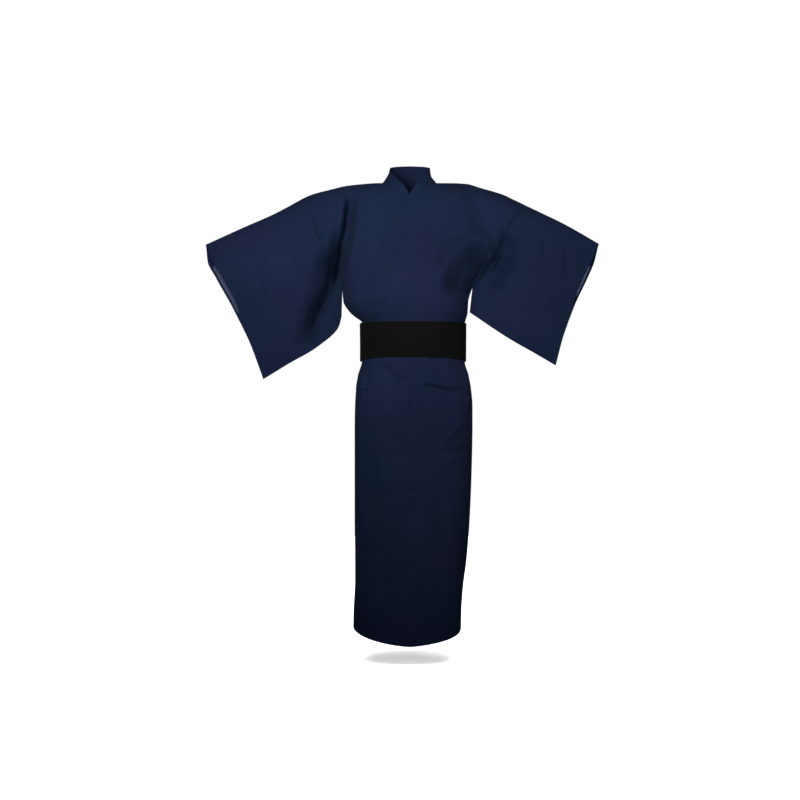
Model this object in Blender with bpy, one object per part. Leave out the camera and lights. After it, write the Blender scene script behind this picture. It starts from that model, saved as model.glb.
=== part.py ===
"""A man's unlined cotton yukata, worn left over right and filled out with no wearer, with its plain belt.

Metres, +Z up. The origin is the middle of the neck opening at the height of the shoulders, the front faces
-Y and the wearer's left is +X. Every cloth piece is a sheet laid on one body form: its inner face lies on
the form, or one lap further out where it goes over another piece, and its wall is thickened outwards.
"""

from math import cos, floor, hypot, pi, sin

import bmesh
import bpy
from mathutils import Vector

FRONT, BACK = -1, 1
RIGHT, LEFT = -1, 1

# Cloth.
WALL = 0.0015  # wall of one layer of cloth
BAND_WALL = 0.0024  # the collar band, folded round its seam allowances
BELT_WALL = 0.0024
SEAM = 0.0004  # half of the gap between two pieces at a seam
BACK_SEAM_SHARE = 0.0006  # the same as a share of the way from the middle of the back to the side
NECK_SEAM_SHARE = 0.0025
SIDE_SHARE = 0.9992  # where a front and a back stop at the side seam
LAP = 0.0050  # how far an over layer's inner face stands out from the under layer's
LAP_ENDS = -0.006  # height on the shoulder above which neither front lies over the other
LAP_BACK = (0.45, 0.95)  # shares of the back over which the over front's lap comes back from the side seam
BELT_CLEAR = 0.0010  # between the cloth's outer face and the belt

# Heights along the centre line.
SHOULDER = 0.0
TIP = -0.050  # where the fronts cross, and the overlap panels run out
OVERLAP_TOP = -0.061
NAPE = -0.054  # height on the form of the neck's edge at the middle of the back
ARMPIT = -0.310
BELT_TOP = -0.433
BELT_BOTTOM = -0.540
BELT_SAG = 0.012  # the belt's lower edge at the sides, below its middle
BAND_END = -0.640  # lower end of the collar band
HEM = -1.411
UNDER_HEM = -1.400  # the under front is pulled up a little
SIDE_RISE = (0.046, 0.037)  # hem at the right and left sides above its middle
BACK_RISE = 0.014  # hem at the middle of the back above the front's
HEM_CURVE = 1.2  # how the front's hem climbs towards the side
HEM_RISE_STARTS = -1.15

# Body form: half widths to the wearer's right and left and depths to the front and back, by height.
FORM = (
    # height, right, left, front, back
    (-1.420, 0.1685, 0.1535, 0.112, 0.118),
    (-1.350, 0.169, 0.155, 0.113, 0.119),
    (-1.260, 0.167, 0.160, 0.114, 0.120),
    (-1.150, 0.167, 0.172, 0.116, 0.122),
    (-1.040, 0.168, 0.180, 0.118, 0.124),
    (-0.900, 0.168, 0.186, 0.120, 0.127),
    (-0.750, 0.168, 0.189, 0.121, 0.130),
    (-0.690, 0.167, 0.189, 0.120, 0.130),
    (-0.640, 0.164, 0.185, 0.117, 0.126),
    (-0.595, 0.157, 0.177, 0.111, 0.119),
    (-0.552, 0.143, 0.1655, 0.103, 0.108),
    (-0.434, 0.143, 0.1655, 0.102, 0.106),
    (-0.400, 0.181, 0.174, 0.114, 0.115),
    (-0.365, 0.203, 0.176, 0.121, 0.119),
    (-0.310, 0.207, 0.193, 0.123, 0.118),
)
ROUNDNESS = 0.87  # 1 makes the sections ellipses, less squares them
CHEST_ARCH = 2.4  # how squarely the chest turns over into the shoulder
BACK_ARCH = 2.8
NAPE_RISE = 0.060  # the cloth climbs the back of the neck
NAPE_WIDTH = 0.085
NAPE_STARTS = (0.45, 0.85)  # shares of the way up from the armpit over which it climbs
SHOULDER_FLAT = 0.6  # share of the way up from the armpit at which the section is flat, like a shoulder's
# Armhole edges, by the share of the way from the armpit to the shoulder.
ARMHOLE = (
    # rise, right, left
    (0.00, 0.207, 0.193),
    (0.20, 0.238, 0.240),
    (0.42, 0.268, 0.281),
    (0.70, 0.297, 0.289),
    (1.00, 0.324, 0.293),
)
ARMHOLE_DEPTH = 0.058  # half the width of the opening between the front and the back
ARMHOLE_TOP = 4.0  # how squarely the opening closes at the shoulder
ARMHOLE_FOOT = 3.0  # how fast it opens above the armpit
# Shoulder line, by the share of the way from the neck to the sleeve.
SHOULDER_LINE = (
    # share, right, left
    (0.00, -0.001, -0.001),
    (0.30, -0.001, -0.001),
    (0.45, -0.004, -0.001),
    (0.60, -0.009, -0.003),
    (0.75, -0.020, -0.015),
    (0.90, -0.032, -0.027),
    (1.00, -0.044, -0.036),
)
SHOULDER_FALL = 2.6  # how late the front and back fall away towards the sleeve
SHOULDER_EASE = 1.7  # and how softly they run out into it

# Seams of the fronts, as the distance from the centre towards each front's own side.
FRONT_SEAM = (
    # height, right, left: the collar seam down to the tip, then the seam of the overlap panel
    (SHOULDER, 0.085, 0.085),
    (TIP, 0.066, 0.061),
    (-0.100, 0.066, 0.049),
    (-0.180, 0.063, 0.042),
    (-0.240, 0.058, 0.035),
    (-0.400, 0.033, 0.017),
    (-0.550, 0.012, 0.004),
    (-0.700, 0.003, 0.001),
    (-0.820, -0.009, -0.009),
    (-0.950, -0.020, -0.020),
    (-1.130, -0.023, -0.023),
    (-1.290, -0.032, -0.032),
    (-1.420, -0.036, -0.036),
)
COLLAR_SEAM = (
    # height, right, left
    (SHOULDER, 0.085, 0.085),
    (TIP, 0.066, 0.061),
    (-0.090, 0.033, 0.029),
    (-0.167, -0.007, -0.009),
    (-0.245, -0.038, -0.038),
    (-0.344, -0.069, -0.069),
    (-0.410, -0.087, -0.087),
    (-0.550, -0.117, -0.117),
    (-0.600, -0.132, -0.132),
    (-0.650, -0.141, -0.141),
)
# Edges that both fronts share, as the distance past the centre from each front's own side.
COLLAR_EDGE = (
    # height, across
    (TIP, -0.0015),
    (-0.121, -0.042),
    (-0.205, -0.080),
    (-0.282, -0.106),
    (-0.344, -0.125),
    (-0.410, -0.141),
    (-0.550, -0.140),
    (-0.600, -0.153),
    (-0.650, -0.160),
)
FREE_EDGE = (
    # height, across
    (-0.600, -0.159),
    (-0.685, -0.157),
    (-0.763, -0.150),
    (-0.825, -0.146),
    (-0.952, -0.148),
    (-1.150, -0.157),
    (-1.361, -0.166),
    (-1.420, -0.167),
)
# Neck edge of the back, by height on the form: the share of the way from the middle to the sleeve.
BACK_NECK = (
    # height, share
    (NAPE, 0.00),
    (-0.036, 0.125),
    (-0.020, 0.19),
    (-0.008, 0.24),
    (SHOULDER, 0.275),
)
NECK_LEAN = 0.003  # the standing collar leans to the wearer's left
# Upper edge of the collar band round the neck, from where the fronts cross to the middle of the back.
NECK_EDGE = (
    # part, across, y, z
    (0.00, -0.0015, -0.0815, -0.050),
    (0.20, 0.019, -0.066, -0.014),
    (0.40, 0.041, -0.043, 0.010),
    (0.55, 0.058, -0.013, 0.035),
    (0.70, 0.061, 0.020, 0.052),
    (0.85, 0.041, 0.052, 0.063),
    (1.00, 0.000, 0.064, 0.067),
)

# Sleeves: edges as distances out from the centre and heights, by the share of the way along each edge.
SLEEVE_TOP = (
    # share, right out, right z, left out, left z
    (0.00, 0.324, -0.044, 0.293, -0.036),
    (0.33, 0.417, -0.096, 0.389, -0.083),
    (0.66, 0.512, -0.140, 0.482, -0.129),
    (1.00, 0.626, -0.194, 0.585, -0.189),
)
SLEEVE_BOTTOM = (
    # share, right out, right z, left out, left z
    (0.00, 0.2105, -0.412, 0.1870, -0.398),
    (0.12, 0.220, -0.445, 0.212, -0.415),
    (0.40, 0.293, -0.510, 0.307, -0.478),
    (0.70, 0.374, -0.559, 0.390, -0.526),
    (1.00, 0.449, -0.606, 0.452, -0.563),
)
SLEEVE_CUFF = (
    # share, right out, right z, left out, left z
    (0.00, 0.626, -0.194, 0.585, -0.189),
    (0.12, 0.624, -0.240, 0.575, -0.240),
    (0.25, 0.599, -0.292, 0.556, -0.288),
    (0.50, 0.543, -0.390, 0.511, -0.381),
    (0.75, 0.490, -0.495, 0.475, -0.475),
    (1.00, 0.449, -0.606, 0.452, -0.563),
)
ARMHOLE_SHARE = 0.72  # part of the sleeve's inner edge that is sewn to the body, the rest closed on itself
CUFF_OPEN = 0.66  # part of the cuff edge that is open
CUFF_CLOSE = 3.0  # how late the opening draws in towards its lower end
CUFF_DEPTH = 0.032  # half the width of the cuff opening
CUFF_TURN = 0.018  # the front of the cuff opening lies this much further in than its back
CUFF_ROUND = 0.7  # how squarely the opening closes at its ends
SLEEVE_FULL = 0.016  # how far each side of the sleeve bellies out between its edges
SLEEVE_FULL_CURVE = (1.4, 0.6)  # how the belly dies out along the sleeve, and down it
SLEEVE_FORWARD = (0.030, 0.012)  # right and left cuffs reach this far to the front
SLEEVE_SEAM_SPREAD = 0.3  # extra of the wall that the sleeve stands off the armhole by
CLOSED = 0.0004  # half of the gap between two layers sewn together

# Main folds, as ridges (+) and troughs (-) over a line of (x, z) points.
FOLD_ENDS = (0.20, 0.25)  # shares of a fold's length over which it runs out at its start and end
FOLD_MARGINS = (0.08, 0.30, 0.15)  # shares of a sleeve left plain at its folds, its armhole and its cuff
FOLD_TOP = -0.03  # the folds run out above this height
SIDE_PLAIN = 0.8  # and past this share of the way to the side, below the foot of the armhole
ARMHOLE_MARGIN = 0.06
FRONT_FOLDS = (
    # half width, depth, points
    (0.024, -0.014, ((-0.183, -0.030), (-0.200, -0.170), (-0.234, -0.295), (-0.300, -0.480))),
    (0.024, 0.008, ((-0.225, -0.060), (-0.250, -0.220), (-0.290, -0.340), (-0.335, -0.470))),
    (0.022, 0.006, ((-0.150, -0.060), (-0.165, -0.200), (-0.190, -0.300))),
    (0.022, -0.011, ((0.095, -0.300), (0.119, -0.242), (0.155, -0.208), (0.195, -0.215), (0.210, -0.290))),
    (0.022, 0.006, ((0.110, -0.190), (0.150, -0.165), (0.200, -0.165), (0.240, -0.230))),
    (0.018, -0.005, ((0.218, -0.050), (0.262, -0.180))),
    (0.020, -0.006, ((0.349, -0.095), (0.305, -0.200), (0.270, -0.330))),
)
BACK_FOLDS = (
    # half width, depth, points
    (0.024, -0.010, ((0.200, -0.040), (0.215, -0.170), (0.240, -0.300), (0.300, -0.450))),
    (0.024, -0.012, ((-0.205, -0.040), (-0.220, -0.170), (-0.250, -0.300), (-0.310, -0.470))),
    (0.026, -0.007, ((0.130, -0.405), (0.100, -0.300), (0.095, -0.180))),
    (0.026, -0.007, ((-0.135, -0.405), (-0.105, -0.300), (-0.100, -0.190))),
    (0.030, -0.008, ((0.060, -0.575), (0.075, -0.800), (0.070, -1.050))),
    (0.030, -0.007, ((-0.055, -0.575), (-0.075, -0.760), (-0.082, -0.980))),
)
FOLDS = {FRONT: FRONT_FOLDS, BACK: BACK_FOLDS}
# Where the front and the back of a sleeve swing forward (+) or back (-) together.
SWAY = (
    # half width, depth, points
    (0.032, -0.030, ((-0.200, -0.170), (-0.230, -0.244), (-0.252, -0.300), (-0.278, -0.37), (-0.32, -0.56))),
    (0.016, 0.010, ((-0.210, -0.265), (-0.230, -0.325), (-0.252, -0.380), (-0.268, -0.436), (-0.29, -0.52))),
    (0.045, 0.008, ((-0.345, -0.180), (-0.368, -0.320), (-0.400, -0.440), (-0.430, -0.600))),
    (0.024, -0.022, ((0.335, -0.170), (0.288, -0.218), (0.266, -0.258), (0.248, -0.302), (0.222, -0.390))),
)
# Shares of the way to the side over which the body joins in.
SWAY_FRONT = (0.50, 0.80)
SWAY_BACK = (0.75, 0.98)

# Rows of the collar band round the neck, matched to the rows of the body panels.
NECK_ROWS = (
    # face, height on the form, part of the way from the crossing to the middle of the back
    (FRONT, -0.034, 0.11),
    (FRONT, -0.020, 0.22),
    (FRONT, -0.009, 0.32),
    (FRONT, -0.002, 0.43),
    (FRONT, SHOULDER, 0.50),
    (BACK, -0.002, 0.56),
    (BACK, -0.009, 0.64),
    (BACK, -0.020, 0.74),
    (BACK, -0.034, 0.84),
    (BACK, TIP, 0.965),
    (BACK, NAPE, 1.00),
)

# Mesh rows and columns.
ROW_HEIGHTS = (
    HEM, -1.365, -1.310, -1.240, -1.160, -1.080, -1.000, -0.920, -0.845, -0.775, -0.710, BAND_END - 0.004,
    BAND_END + 0.004, -0.605, -0.575, -0.550, -0.495, -0.434, -0.417, -0.400, -0.380, -0.345, ARMPIT,
    -0.275, -0.240, -0.205, -0.167, -0.130, -0.100, -0.075, OVERLAP_TOP, NAPE, TIP, -0.034, -0.020, -0.009,
    -0.002, SHOULDER,
)
BODY_COLUMNS = 10
OVERLAP_COLUMNS = 6
BAND_COLUMNS = 2
BELT_ROWS = 3
BELT_STEPS = 72
SLEEVE_STEPS = 14
SLEEVE_LOWER_ROWS = (0.78, 0.85, 0.91, 0.96, 0.985, 1.0)  # shares down a sleeve, below the armhole

# The belt goes round once and laps over its own end at the back.
BELT_START = 165.0  # degrees round from the middle of the front, towards the wearer's left
BELT_LAP = 45.0
BELT_RAMP = 40.0

NAVY = (0.013, 0.020, 0.054, 1.0)
NAVY_BAND = (0.012, 0.018, 0.048, 1.0)
BLACK = (0.006, 0.006, 0.006, 1.0)


def ease(low, high, at):
    """0 below low, 1 above high, and a smooth way between."""
    share = min(1.0, max(0.0, (at - low) / (high - low)))
    return share * share * (3.0 - 2.0 * share)


def mix(first, second, share):
    return first + (second - first) * share


def along(rows, at):
    """The columns of a table at a place between its rows, on smooth curves that don't overshoot."""
    rows = sorted(rows)
    at = min(max(at, rows[0][0]), rows[-1][0])
    index = next(i for i in range(len(rows) - 1) if at <= rows[i + 1][0])
    span = rows[index + 1][0] - rows[index][0]
    t = (at - rows[index][0]) / span
    values = []
    for column in range(1, len(rows[0])):
        slopes = []
        for knot in (index, index + 1):
            before = after = None
            if knot > 0:
                before = (rows[knot][column] - rows[knot - 1][column]) / (rows[knot][0] - rows[knot - 1][0])
            if knot < len(rows) - 1:
                after = (rows[knot + 1][column] - rows[knot][column]) / (rows[knot + 1][0] - rows[knot][0])
            if before is None or after is None:
                slopes.append(after if before is None else before)
            elif before * after <= 0:
                slopes.append(0.0)
            else:
                slopes.append(2 * before * after / (before + after))
        first, second = rows[index][column], rows[index + 1][column]
        values.append(
            first * (1 + 2 * t) * (1 - t) ** 2
            + second * t * t * (3 - 2 * t)
            + span * (slopes[0] * t * (1 - t) ** 2 - slopes[1] * t * t * (1 - t))
        )
    return values


def rise_of(height):
    """The share of the way from the armpit to the shoulder."""
    return min(1.0, (height - ARMPIT) / (SHOULDER - ARMPIT))


def form_point(face, side, share, height):
    """A point of the body form: share runs from the centre line, 0, to the side seam or armhole, 1."""
    angle = share * pi / 2
    across = max(0.0, sin(angle)) ** ROUNDNESS
    deep = max(0.0, cos(angle)) ** ROUNDNESS
    widths_depths = along(FORM, min(height, ARMPIT))
    width = widths_depths[1 if side == LEFT else 0]
    depth = widths_depths[2 if face == FRONT else 3]
    if height <= ARMPIT:
        side_rise = SIDE_RISE[1 if side == LEFT else 0]
        lift = side_rise * share**HEM_CURVE if face == FRONT else mix(BACK_RISE, side_rise, share)
        lift *= ease(HEM_RISE_STARTS, HEM, height) if height > HEM else 1.0
        return Vector((side * width * across, face * depth * deep, height + lift))
    rise = rise_of(height)
    edge = along(ARMHOLE, rise)[1 if side == LEFT else 0]
    top = along(SHOULDER_LINE, share)[1 if side == LEFT else 0]
    flat = ease(0.0, SHOULDER_FLAT, rise)
    arch = CHEST_ARCH if face == FRONT else BACK_ARCH
    middle_depth = depth * (1 - rise**arch) ** (1 / arch)
    edge_depth = ARMHOLE_DEPTH * (1 - rise**ARMHOLE_TOP) ** 0.5 * (1 - (1 - rise) ** ARMHOLE_FOOT)
    fall = mix(deep, max(0.0, 1 - share**SHOULDER_FALL) ** SHOULDER_EASE, flat)
    x = side * edge * mix(across, share, flat)
    y = face * (edge_depth + (middle_depth - edge_depth) * fall)
    z = ARMPIT + (top - ARMPIT) * rise
    if face == BACK:
        z += NAPE_RISE * max(0.0, 1 - (x / NAPE_WIDTH) ** 2) ** 2 * ease(*NAPE_STARTS, rise)
    return Vector((x, y, z))


def fold_height(folds, x, z):
    """How far the folds raise or sink the cloth at a place."""
    total = 0.0
    for width, depth, points in folds:
        nearest = None
        lengths = [hypot(b[0] - a[0], b[1] - a[1]) for a, b in zip(points, points[1:])]
        gone = 0.0
        for (ax, az), (bx, bz), length in zip(points, points[1:], lengths):
            t = ((x - ax) * (bx - ax) + (z - az) * (bz - az)) / length**2
            t = min(1.0, max(0.0, t))
            away = hypot(x - mix(ax, bx, t), z - mix(az, bz, t))
            if nearest is None or away < nearest[0]:
                nearest = (away, (gone + t * length) / sum(lengths))
            gone += length
        away, part = nearest
        fade = ease(0.0, FOLD_ENDS[0], part) * ease(0.0, FOLD_ENDS[1], 1 - part)
        total += depth * fade * max(0.0, 1 - (away / (2 * width)) ** 2) ** 2
    return total


def form_normal(face, side, share, height):
    """The outward direction of the form at a place, from points just beside it."""
    step = 0.004
    inner, outer = max(0.0, share - step), min(1.0, share + step)
    low, high = height - step, min(SHOULDER - 0.0001, height + step)
    round_way = form_point(face, side, outer, height) - form_point(face, side, inner, height)
    up_way = form_point(face, side, share, high) - form_point(face, side, share, low)
    normal = round_way.cross(up_way).normalized()
    return normal if face * side < 0 else -normal


def cloth_point(face, side, share, height, out):
    """A point of a cloth's inner face, standing out from the form."""
    point = form_point(face, side, share, height)
    normal = form_normal(face, side, share, height)
    settle = 1 - ease(FOLD_TOP, SHOULDER, height)
    settle *= 1 - ease(SIDE_PLAIN, 1.0, share) * (1 - ease(ARMPIT, ARMPIT + ARMHOLE_MARGIN, height))
    return point + normal * (out + settle * fold_height(FOLDS[face], point.x, point.z))


def share_at(face, side, x, height):
    """The share at which the form is this far across."""
    low, high = 0.0, 1.0
    for _ in range(24):
        middle = (low + high) / 2
        if abs(form_point(face, side, middle, height).x) < abs(x):
            low = middle
        else:
            high = middle
    return (low + high) / 2


def front_point(signed_share, height, out):
    """A point of the front by its share with a sign, plus towards the wearer's left."""
    side = LEFT if signed_share >= 0 else RIGHT
    return cloth_point(FRONT, side, abs(signed_share), height, out)


def signed_share(x, height):
    side = LEFT if x >= 0 else RIGHT
    return side * share_at(FRONT, side, x, height)


def of_side(side, table, height):
    """The right or the left column of a table of seams."""
    return along(table, height)[1 if side == LEFT else 0]


def swung(point, joins, share):
    """A point of the body's cloth, moved with the sleeve beside it."""
    point.y -= ease(*joins, share) * fold_height(SWAY, point.x, point.z)
    return point


def over_lap(height):
    """How far the over front stands out: a full lap below the crossing, none on the shoulder."""
    return LAP * (1 - ease(TIP, LAP_ENDS, height))


def body_lap(face, side, share, height):
    """How far a body panel stands out: the left goes over the right, and comes back to the form behind."""
    if side == RIGHT:
        return 0.0
    return over_lap(height) * (1.0 if face == FRONT else ease(*LAP_BACK, share))


def sheet(name, columns, rows, place, wall, colour, away):
    """A grid of cloth, each corner put where place says, thickened away from the side that away gives."""
    mesh = bpy.data.meshes.new(name)
    work = bmesh.new()
    bmesh.ops.create_grid(work, x_segments=columns, y_segments=rows, size=0.5)
    for corner in work.verts:
        column = round((corner.co.x + 0.5) * columns)
        row = round((corner.co.y + 0.5) * rows)
        corner.co = place(column, row)
    bmesh.ops.remove_doubles(work, verts=work.verts, dist=0.00002)
    work.normal_update()
    facing = sum(face.normal.dot(away(face.calc_center_median())) * face.calc_area() for face in work.faces)
    if facing < 0:
        bmesh.ops.reverse_faces(work, faces=work.faces)
    work.to_mesh(mesh)
    work.free()
    mesh.shade_smooth()
    mesh.materials.append(finish(name, colour))
    piece = bpy.data.objects.new(name, mesh)
    bpy.context.scene.collection.objects.link(piece)
    thicken = piece.modifiers.new("Wall", "SOLIDIFY")
    thicken.thickness = wall
    thicken.offset = 1.0
    return piece


def finish(name, colour):
    material = bpy.data.materials.new(name + " cloth")
    material.use_nodes = True
    shader = material.node_tree.nodes["Principled BSDF"]
    shader.inputs["Base Color"].default_value = colour
    shader.inputs["Roughness"].default_value = 0.85
    shader.inputs["Metallic"].default_value = 0.0
    return material


def from_axis(point):
    return Vector((point.x, point.y, 0.0))


def back_edge(height):
    """The inner edge of a back: its middle up to the nape, then the neck's edge."""
    return along(BACK_NECK, height)[0]


def body_panel(name, side):
    """One length of cloth from the front hem over the shoulder to the back hem, split for the neck."""
    heights = [UNDER_HEM if side == RIGHT and height == HEM else height for height in ROW_HEIGHTS]
    rows = [(FRONT, height) for height in heights]
    rows += [(BACK, height) for height in reversed(ROW_HEIGHTS[:-1])]

    def place(column, row):
        face, height = rows[row]
        outer = SIDE_SHARE if height <= ARMPIT else 1.0
        if face == FRONT:
            seam = of_side(side, FRONT_SEAM, height) + SEAM
            start = side * signed_share(side * seam, height)
            share = mix(start, outer, column / BODY_COLUMNS)
            own_side = side if share >= 0 else -side
            lap = body_lap(FRONT, side, abs(share), height)
            point = cloth_point(FRONT, own_side, abs(share), height, lap)
            return swung(point, SWAY_FRONT, abs(share))
        inner = back_edge(height)
        inner += NECK_SEAM_SHARE if inner > 0 else BACK_SEAM_SHARE
        share = mix(inner, outer, column / BODY_COLUMNS)
        point = cloth_point(BACK, side, share, height, body_lap(BACK, side, share, height))
        return swung(point, SWAY_BACK, share)

    return sheet(name, BODY_COLUMNS, len(rows) - 1, place, WALL, NAVY, from_axis)


def overlap_panel(name, side):
    """The panel that widens a front, from its seam to the collar and, lower down, to the free edge."""
    rows = [height for height in ROW_HEIGHTS if height <= OVERLAP_TOP]
    if side == RIGHT:
        rows[0] = UNDER_HEM

    def place(column, row):
        height = rows[row]
        inner = of_side(side, FRONT_SEAM, height) - SEAM
        if height < BAND_END:
            outer = along(FREE_EDGE, height)[0]
        else:
            outer = of_side(side, COLLAR_SEAM, height) + SEAM
        first = signed_share(side * inner, height)
        last = signed_share(side * outer, height)
        share = mix(first, last, column / OVERLAP_COLUMNS)
        return front_point(share, height, over_lap(height) if side == LEFT else 0.0)

    return sheet(name, OVERLAP_COLUMNS, len(rows) - 1, place, WALL, NAVY, from_axis)


def across_band(first, last):
    return [first.lerp(last, column / BAND_COLUMNS) for column in range(BAND_COLUMNS + 1)]


def collar_front_row(side, height):
    """The collar band's row on a front, from its seam to its edge, along the form."""
    out = over_lap(height) if side == LEFT else 0.0
    seam = signed_share(side * (of_side(side, COLLAR_SEAM, height) - SEAM), height)
    edge = signed_share(side * along(COLLAR_EDGE, height)[0], height)
    shares = [mix(seam, edge, column / BAND_COLUMNS) for column in range(BAND_COLUMNS + 1)]
    return [front_point(share, height, out) for share in shares]


def collar_neck_row(side, face, height, part):
    """The collar band's row beside the neck, standing up from the body panel's edge."""
    x, y, z = along(NECK_EDGE, part)
    over = over_lap(height) if side == LEFT and face == FRONT else 0.0
    edge = Vector((side * x + NECK_LEAN * part, y - over, z))
    if face == FRONT:
        share = share_at(FRONT, side, of_side(side, FRONT_SEAM, height) - SEAM, height)
    else:
        share = max(0.0, back_edge(height) - NECK_SEAM_SHARE)
    seam = cloth_point(face, side, share, height, over)
    inward = Vector((-seam.x, -seam.y, 0.0)).normalized()
    return across_band(seam + inward * BAND_WALL * ease(0.0, 0.4, part), edge)


def collar_band(name):
    """One band, seamed to the over front, the neck and the under front."""
    rows = []
    for side in (LEFT, RIGHT):
        half = [collar_front_row(side, height) for height in ROW_HEIGHTS if BAND_END < height <= TIP]
        half += [collar_neck_row(side, *row) for row in NECK_ROWS]
        rows += half if side == LEFT else half[-2::-1]

    def place(column, row):
        return rows[row][column]

    return sheet(name, BAND_COLUMNS, len(rows) - 1, place, BAND_WALL, NAVY_BAND, from_axis)


def sleeve_edge(table, side, share):
    right_out, right_z, left_out, left_z = along(table, share)
    out, z = (left_out, left_z) if side == LEFT else (right_out, right_z)
    return Vector((side * out, 0.0, z))


def sleeve_inner(face, side, down):
    """The inner edge of a sleeve: along the armhole, then closed on itself below the armpit."""
    bottom = sleeve_edge(SLEEVE_BOTTOM, side, 0.0)
    if down <= ARMHOLE_SHARE:
        rise = 1 - down / ARMHOLE_SHARE
        height = mix(ARMPIT, SHOULDER, rise)
        point = cloth_point(face, side, 1.0, height, body_lap(face, side, 1.0, height))
        normal = form_normal(face, side, 1.0, height)
        point.x += side * (WALL * (abs(normal.x) + SLEEVE_SEAM_SPREAD) + 2 * SEAM)
        point.y = face * max(face * point.y, CLOSED)
        return point
    armpit = sleeve_inner(face, side, ARMHOLE_SHARE)
    point = armpit.lerp(bottom, (down - ARMHOLE_SHARE) / (1 - ARMHOLE_SHARE))
    point.y = face * CLOSED
    return point


def sleeve_cuff(face, side, down):
    point = sleeve_edge(SLEEVE_CUFF, side, down)
    part = min(1.0, down / CUFF_OPEN)
    opening = max(0.0, sin(pi * part)) ** CUFF_ROUND * (1 - part**CUFF_CLOSE)
    point.y = face * (CLOSED + CUFF_DEPTH * opening) - SLEEVE_FORWARD[0 if side == RIGHT else 1]
    if face == FRONT:
        point.x -= side * CUFF_TURN * opening
    return point


def sleeve_point(face, side, share, down):
    """A point of a sleeve: share runs from armhole to cuff, down from the shoulder fold to the bottom."""
    folds = []
    for table, end in ((SLEEVE_TOP, 0.0), (SLEEVE_BOTTOM, 1.0)):
        first, last = sleeve_inner(face, side, end), sleeve_cuff(face, side, end)
        chord = sleeve_edge(table, side, 0.0).lerp(sleeve_edge(table, side, 1.0), share)
        bow = sleeve_edge(table, side, share) - chord
        folds.append((first.lerp(last, share), bow))
    straight = folds[0][0].lerp(folds[1][0], down)
    bowed = straight + folds[0][1].lerp(folds[1][1], down)
    corners = [[sleeve_inner(face, side, end), sleeve_cuff(face, side, end)] for end in (0.0, 1.0)]
    inner_bow = sleeve_inner(face, side, down) - corners[0][0].lerp(corners[1][0], down)
    cuff_bow = sleeve_cuff(face, side, down) - corners[0][1].lerp(corners[1][1], down)
    point = bowed + inner_bow.lerp(cuff_bow, share)
    length_curve, height_curve = SLEEVE_FULL_CURVE
    belly = SLEEVE_FULL * max(0.0, sin(pi * share)) ** length_curve
    belly *= max(0.0, sin(pi * down)) ** height_curve
    folds_plain, armhole_plain, cuff_plain = FOLD_MARGINS
    inside = ease(0.0, folds_plain, down) * ease(0.0, folds_plain, 1 - down)
    inside *= ease(0.0, armhole_plain, share) * ease(0.0, cuff_plain, 1 - share)
    point.y += face * (belly + inside * fold_height(FOLDS[face], point.x, point.z))
    point.y -= fold_height(SWAY, point.x, point.z)
    return point


def sleeve(name, side):
    """A tube of cloth folded along the shoulder, closed below, open at the armhole and the upper cuff."""
    downs = [ARMHOLE_SHARE * (1 - rise_of(height)) for height in reversed(ROW_HEIGHTS) if height >= ARMPIT]
    downs += SLEEVE_LOWER_ROWS
    around = [(FRONT, down) for down in downs]
    around += [(BACK, down) for down in reversed(downs)]

    def place(column, row):
        face, down = around[row]
        if down in (0.0, 1.0):
            ends = [sleeve_point(each, side, column / SLEEVE_STEPS, down) for each in (FRONT, BACK)]
            return (ends[0] + ends[1]) / 2
        return sleeve_point(face, side, column / SLEEVE_STEPS, down)

    def from_middle(point):
        return Vector((0.0, point.y + SLEEVE_FORWARD[0 if side == RIGHT else 1] * 0.5, 0.0))

    return sheet(name, SLEEVE_STEPS, len(around) - 1, place, WALL, NAVY, from_middle)


def belt(name):
    """A stiff band once round the waist, its end lapped over its start at the back."""
    whole = 360.0 + BELT_LAP

    def place(column, row):
        turn = BELT_START + whole * column / BELT_STEPS
        angle = turn - 360.0 * floor(turn / 360.0)
        side = LEFT if angle < 180.0 else RIGHT
        from_front = angle if side == LEFT else 360.0 - angle
        face = FRONT if from_front <= 90.0 else BACK
        share = from_front / 90.0 if face == FRONT else (180.0 - from_front) / 90.0
        bottom = BELT_BOTTOM - BELT_SAG * share**2
        height = mix(bottom, BELT_TOP, row / BELT_ROWS)
        under = LAP
        if face == BACK:
            under *= ease(0.0, 0.6, share)
        lapped = ease(BELT_START + 360.0 - BELT_RAMP, BELT_START + 360.0, turn)
        out = under + BAND_WALL + BELT_CLEAR + lapped * (BELT_WALL + BELT_CLEAR)
        return cloth_point(face, side, share, height, out)

    return sheet(name, BELT_STEPS, BELT_ROWS, place, BELT_WALL, BLACK, from_axis)


def main():
    for thing in list(bpy.data.objects):
        bpy.data.objects.remove(thing)
    body_panel("body_left", LEFT)
    body_panel("body_right", RIGHT)
    overlap_panel("overlap_left", LEFT)
    overlap_panel("overlap_right", RIGHT)
    collar_band("collar")
    sleeve("sleeve_left", LEFT)
    sleeve("sleeve_right", RIGHT)
    belt("belt")


main()
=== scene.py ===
"""The looks of a man's unlined cotton yukata with its plain belt, worn left front over right with no wearer.

Metres, +Z up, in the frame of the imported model: the front faces -Y and the wearer's left is +X. Every piece
of cloth is laid on the same body form as the solids, cut into fine rows, folded in along its edges as it is
sewn, and given its creases, its weave and its thickness.
"""

from math import pi, radians

import bmesh
import bpy
import numpy as np
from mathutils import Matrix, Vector, noise


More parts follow.
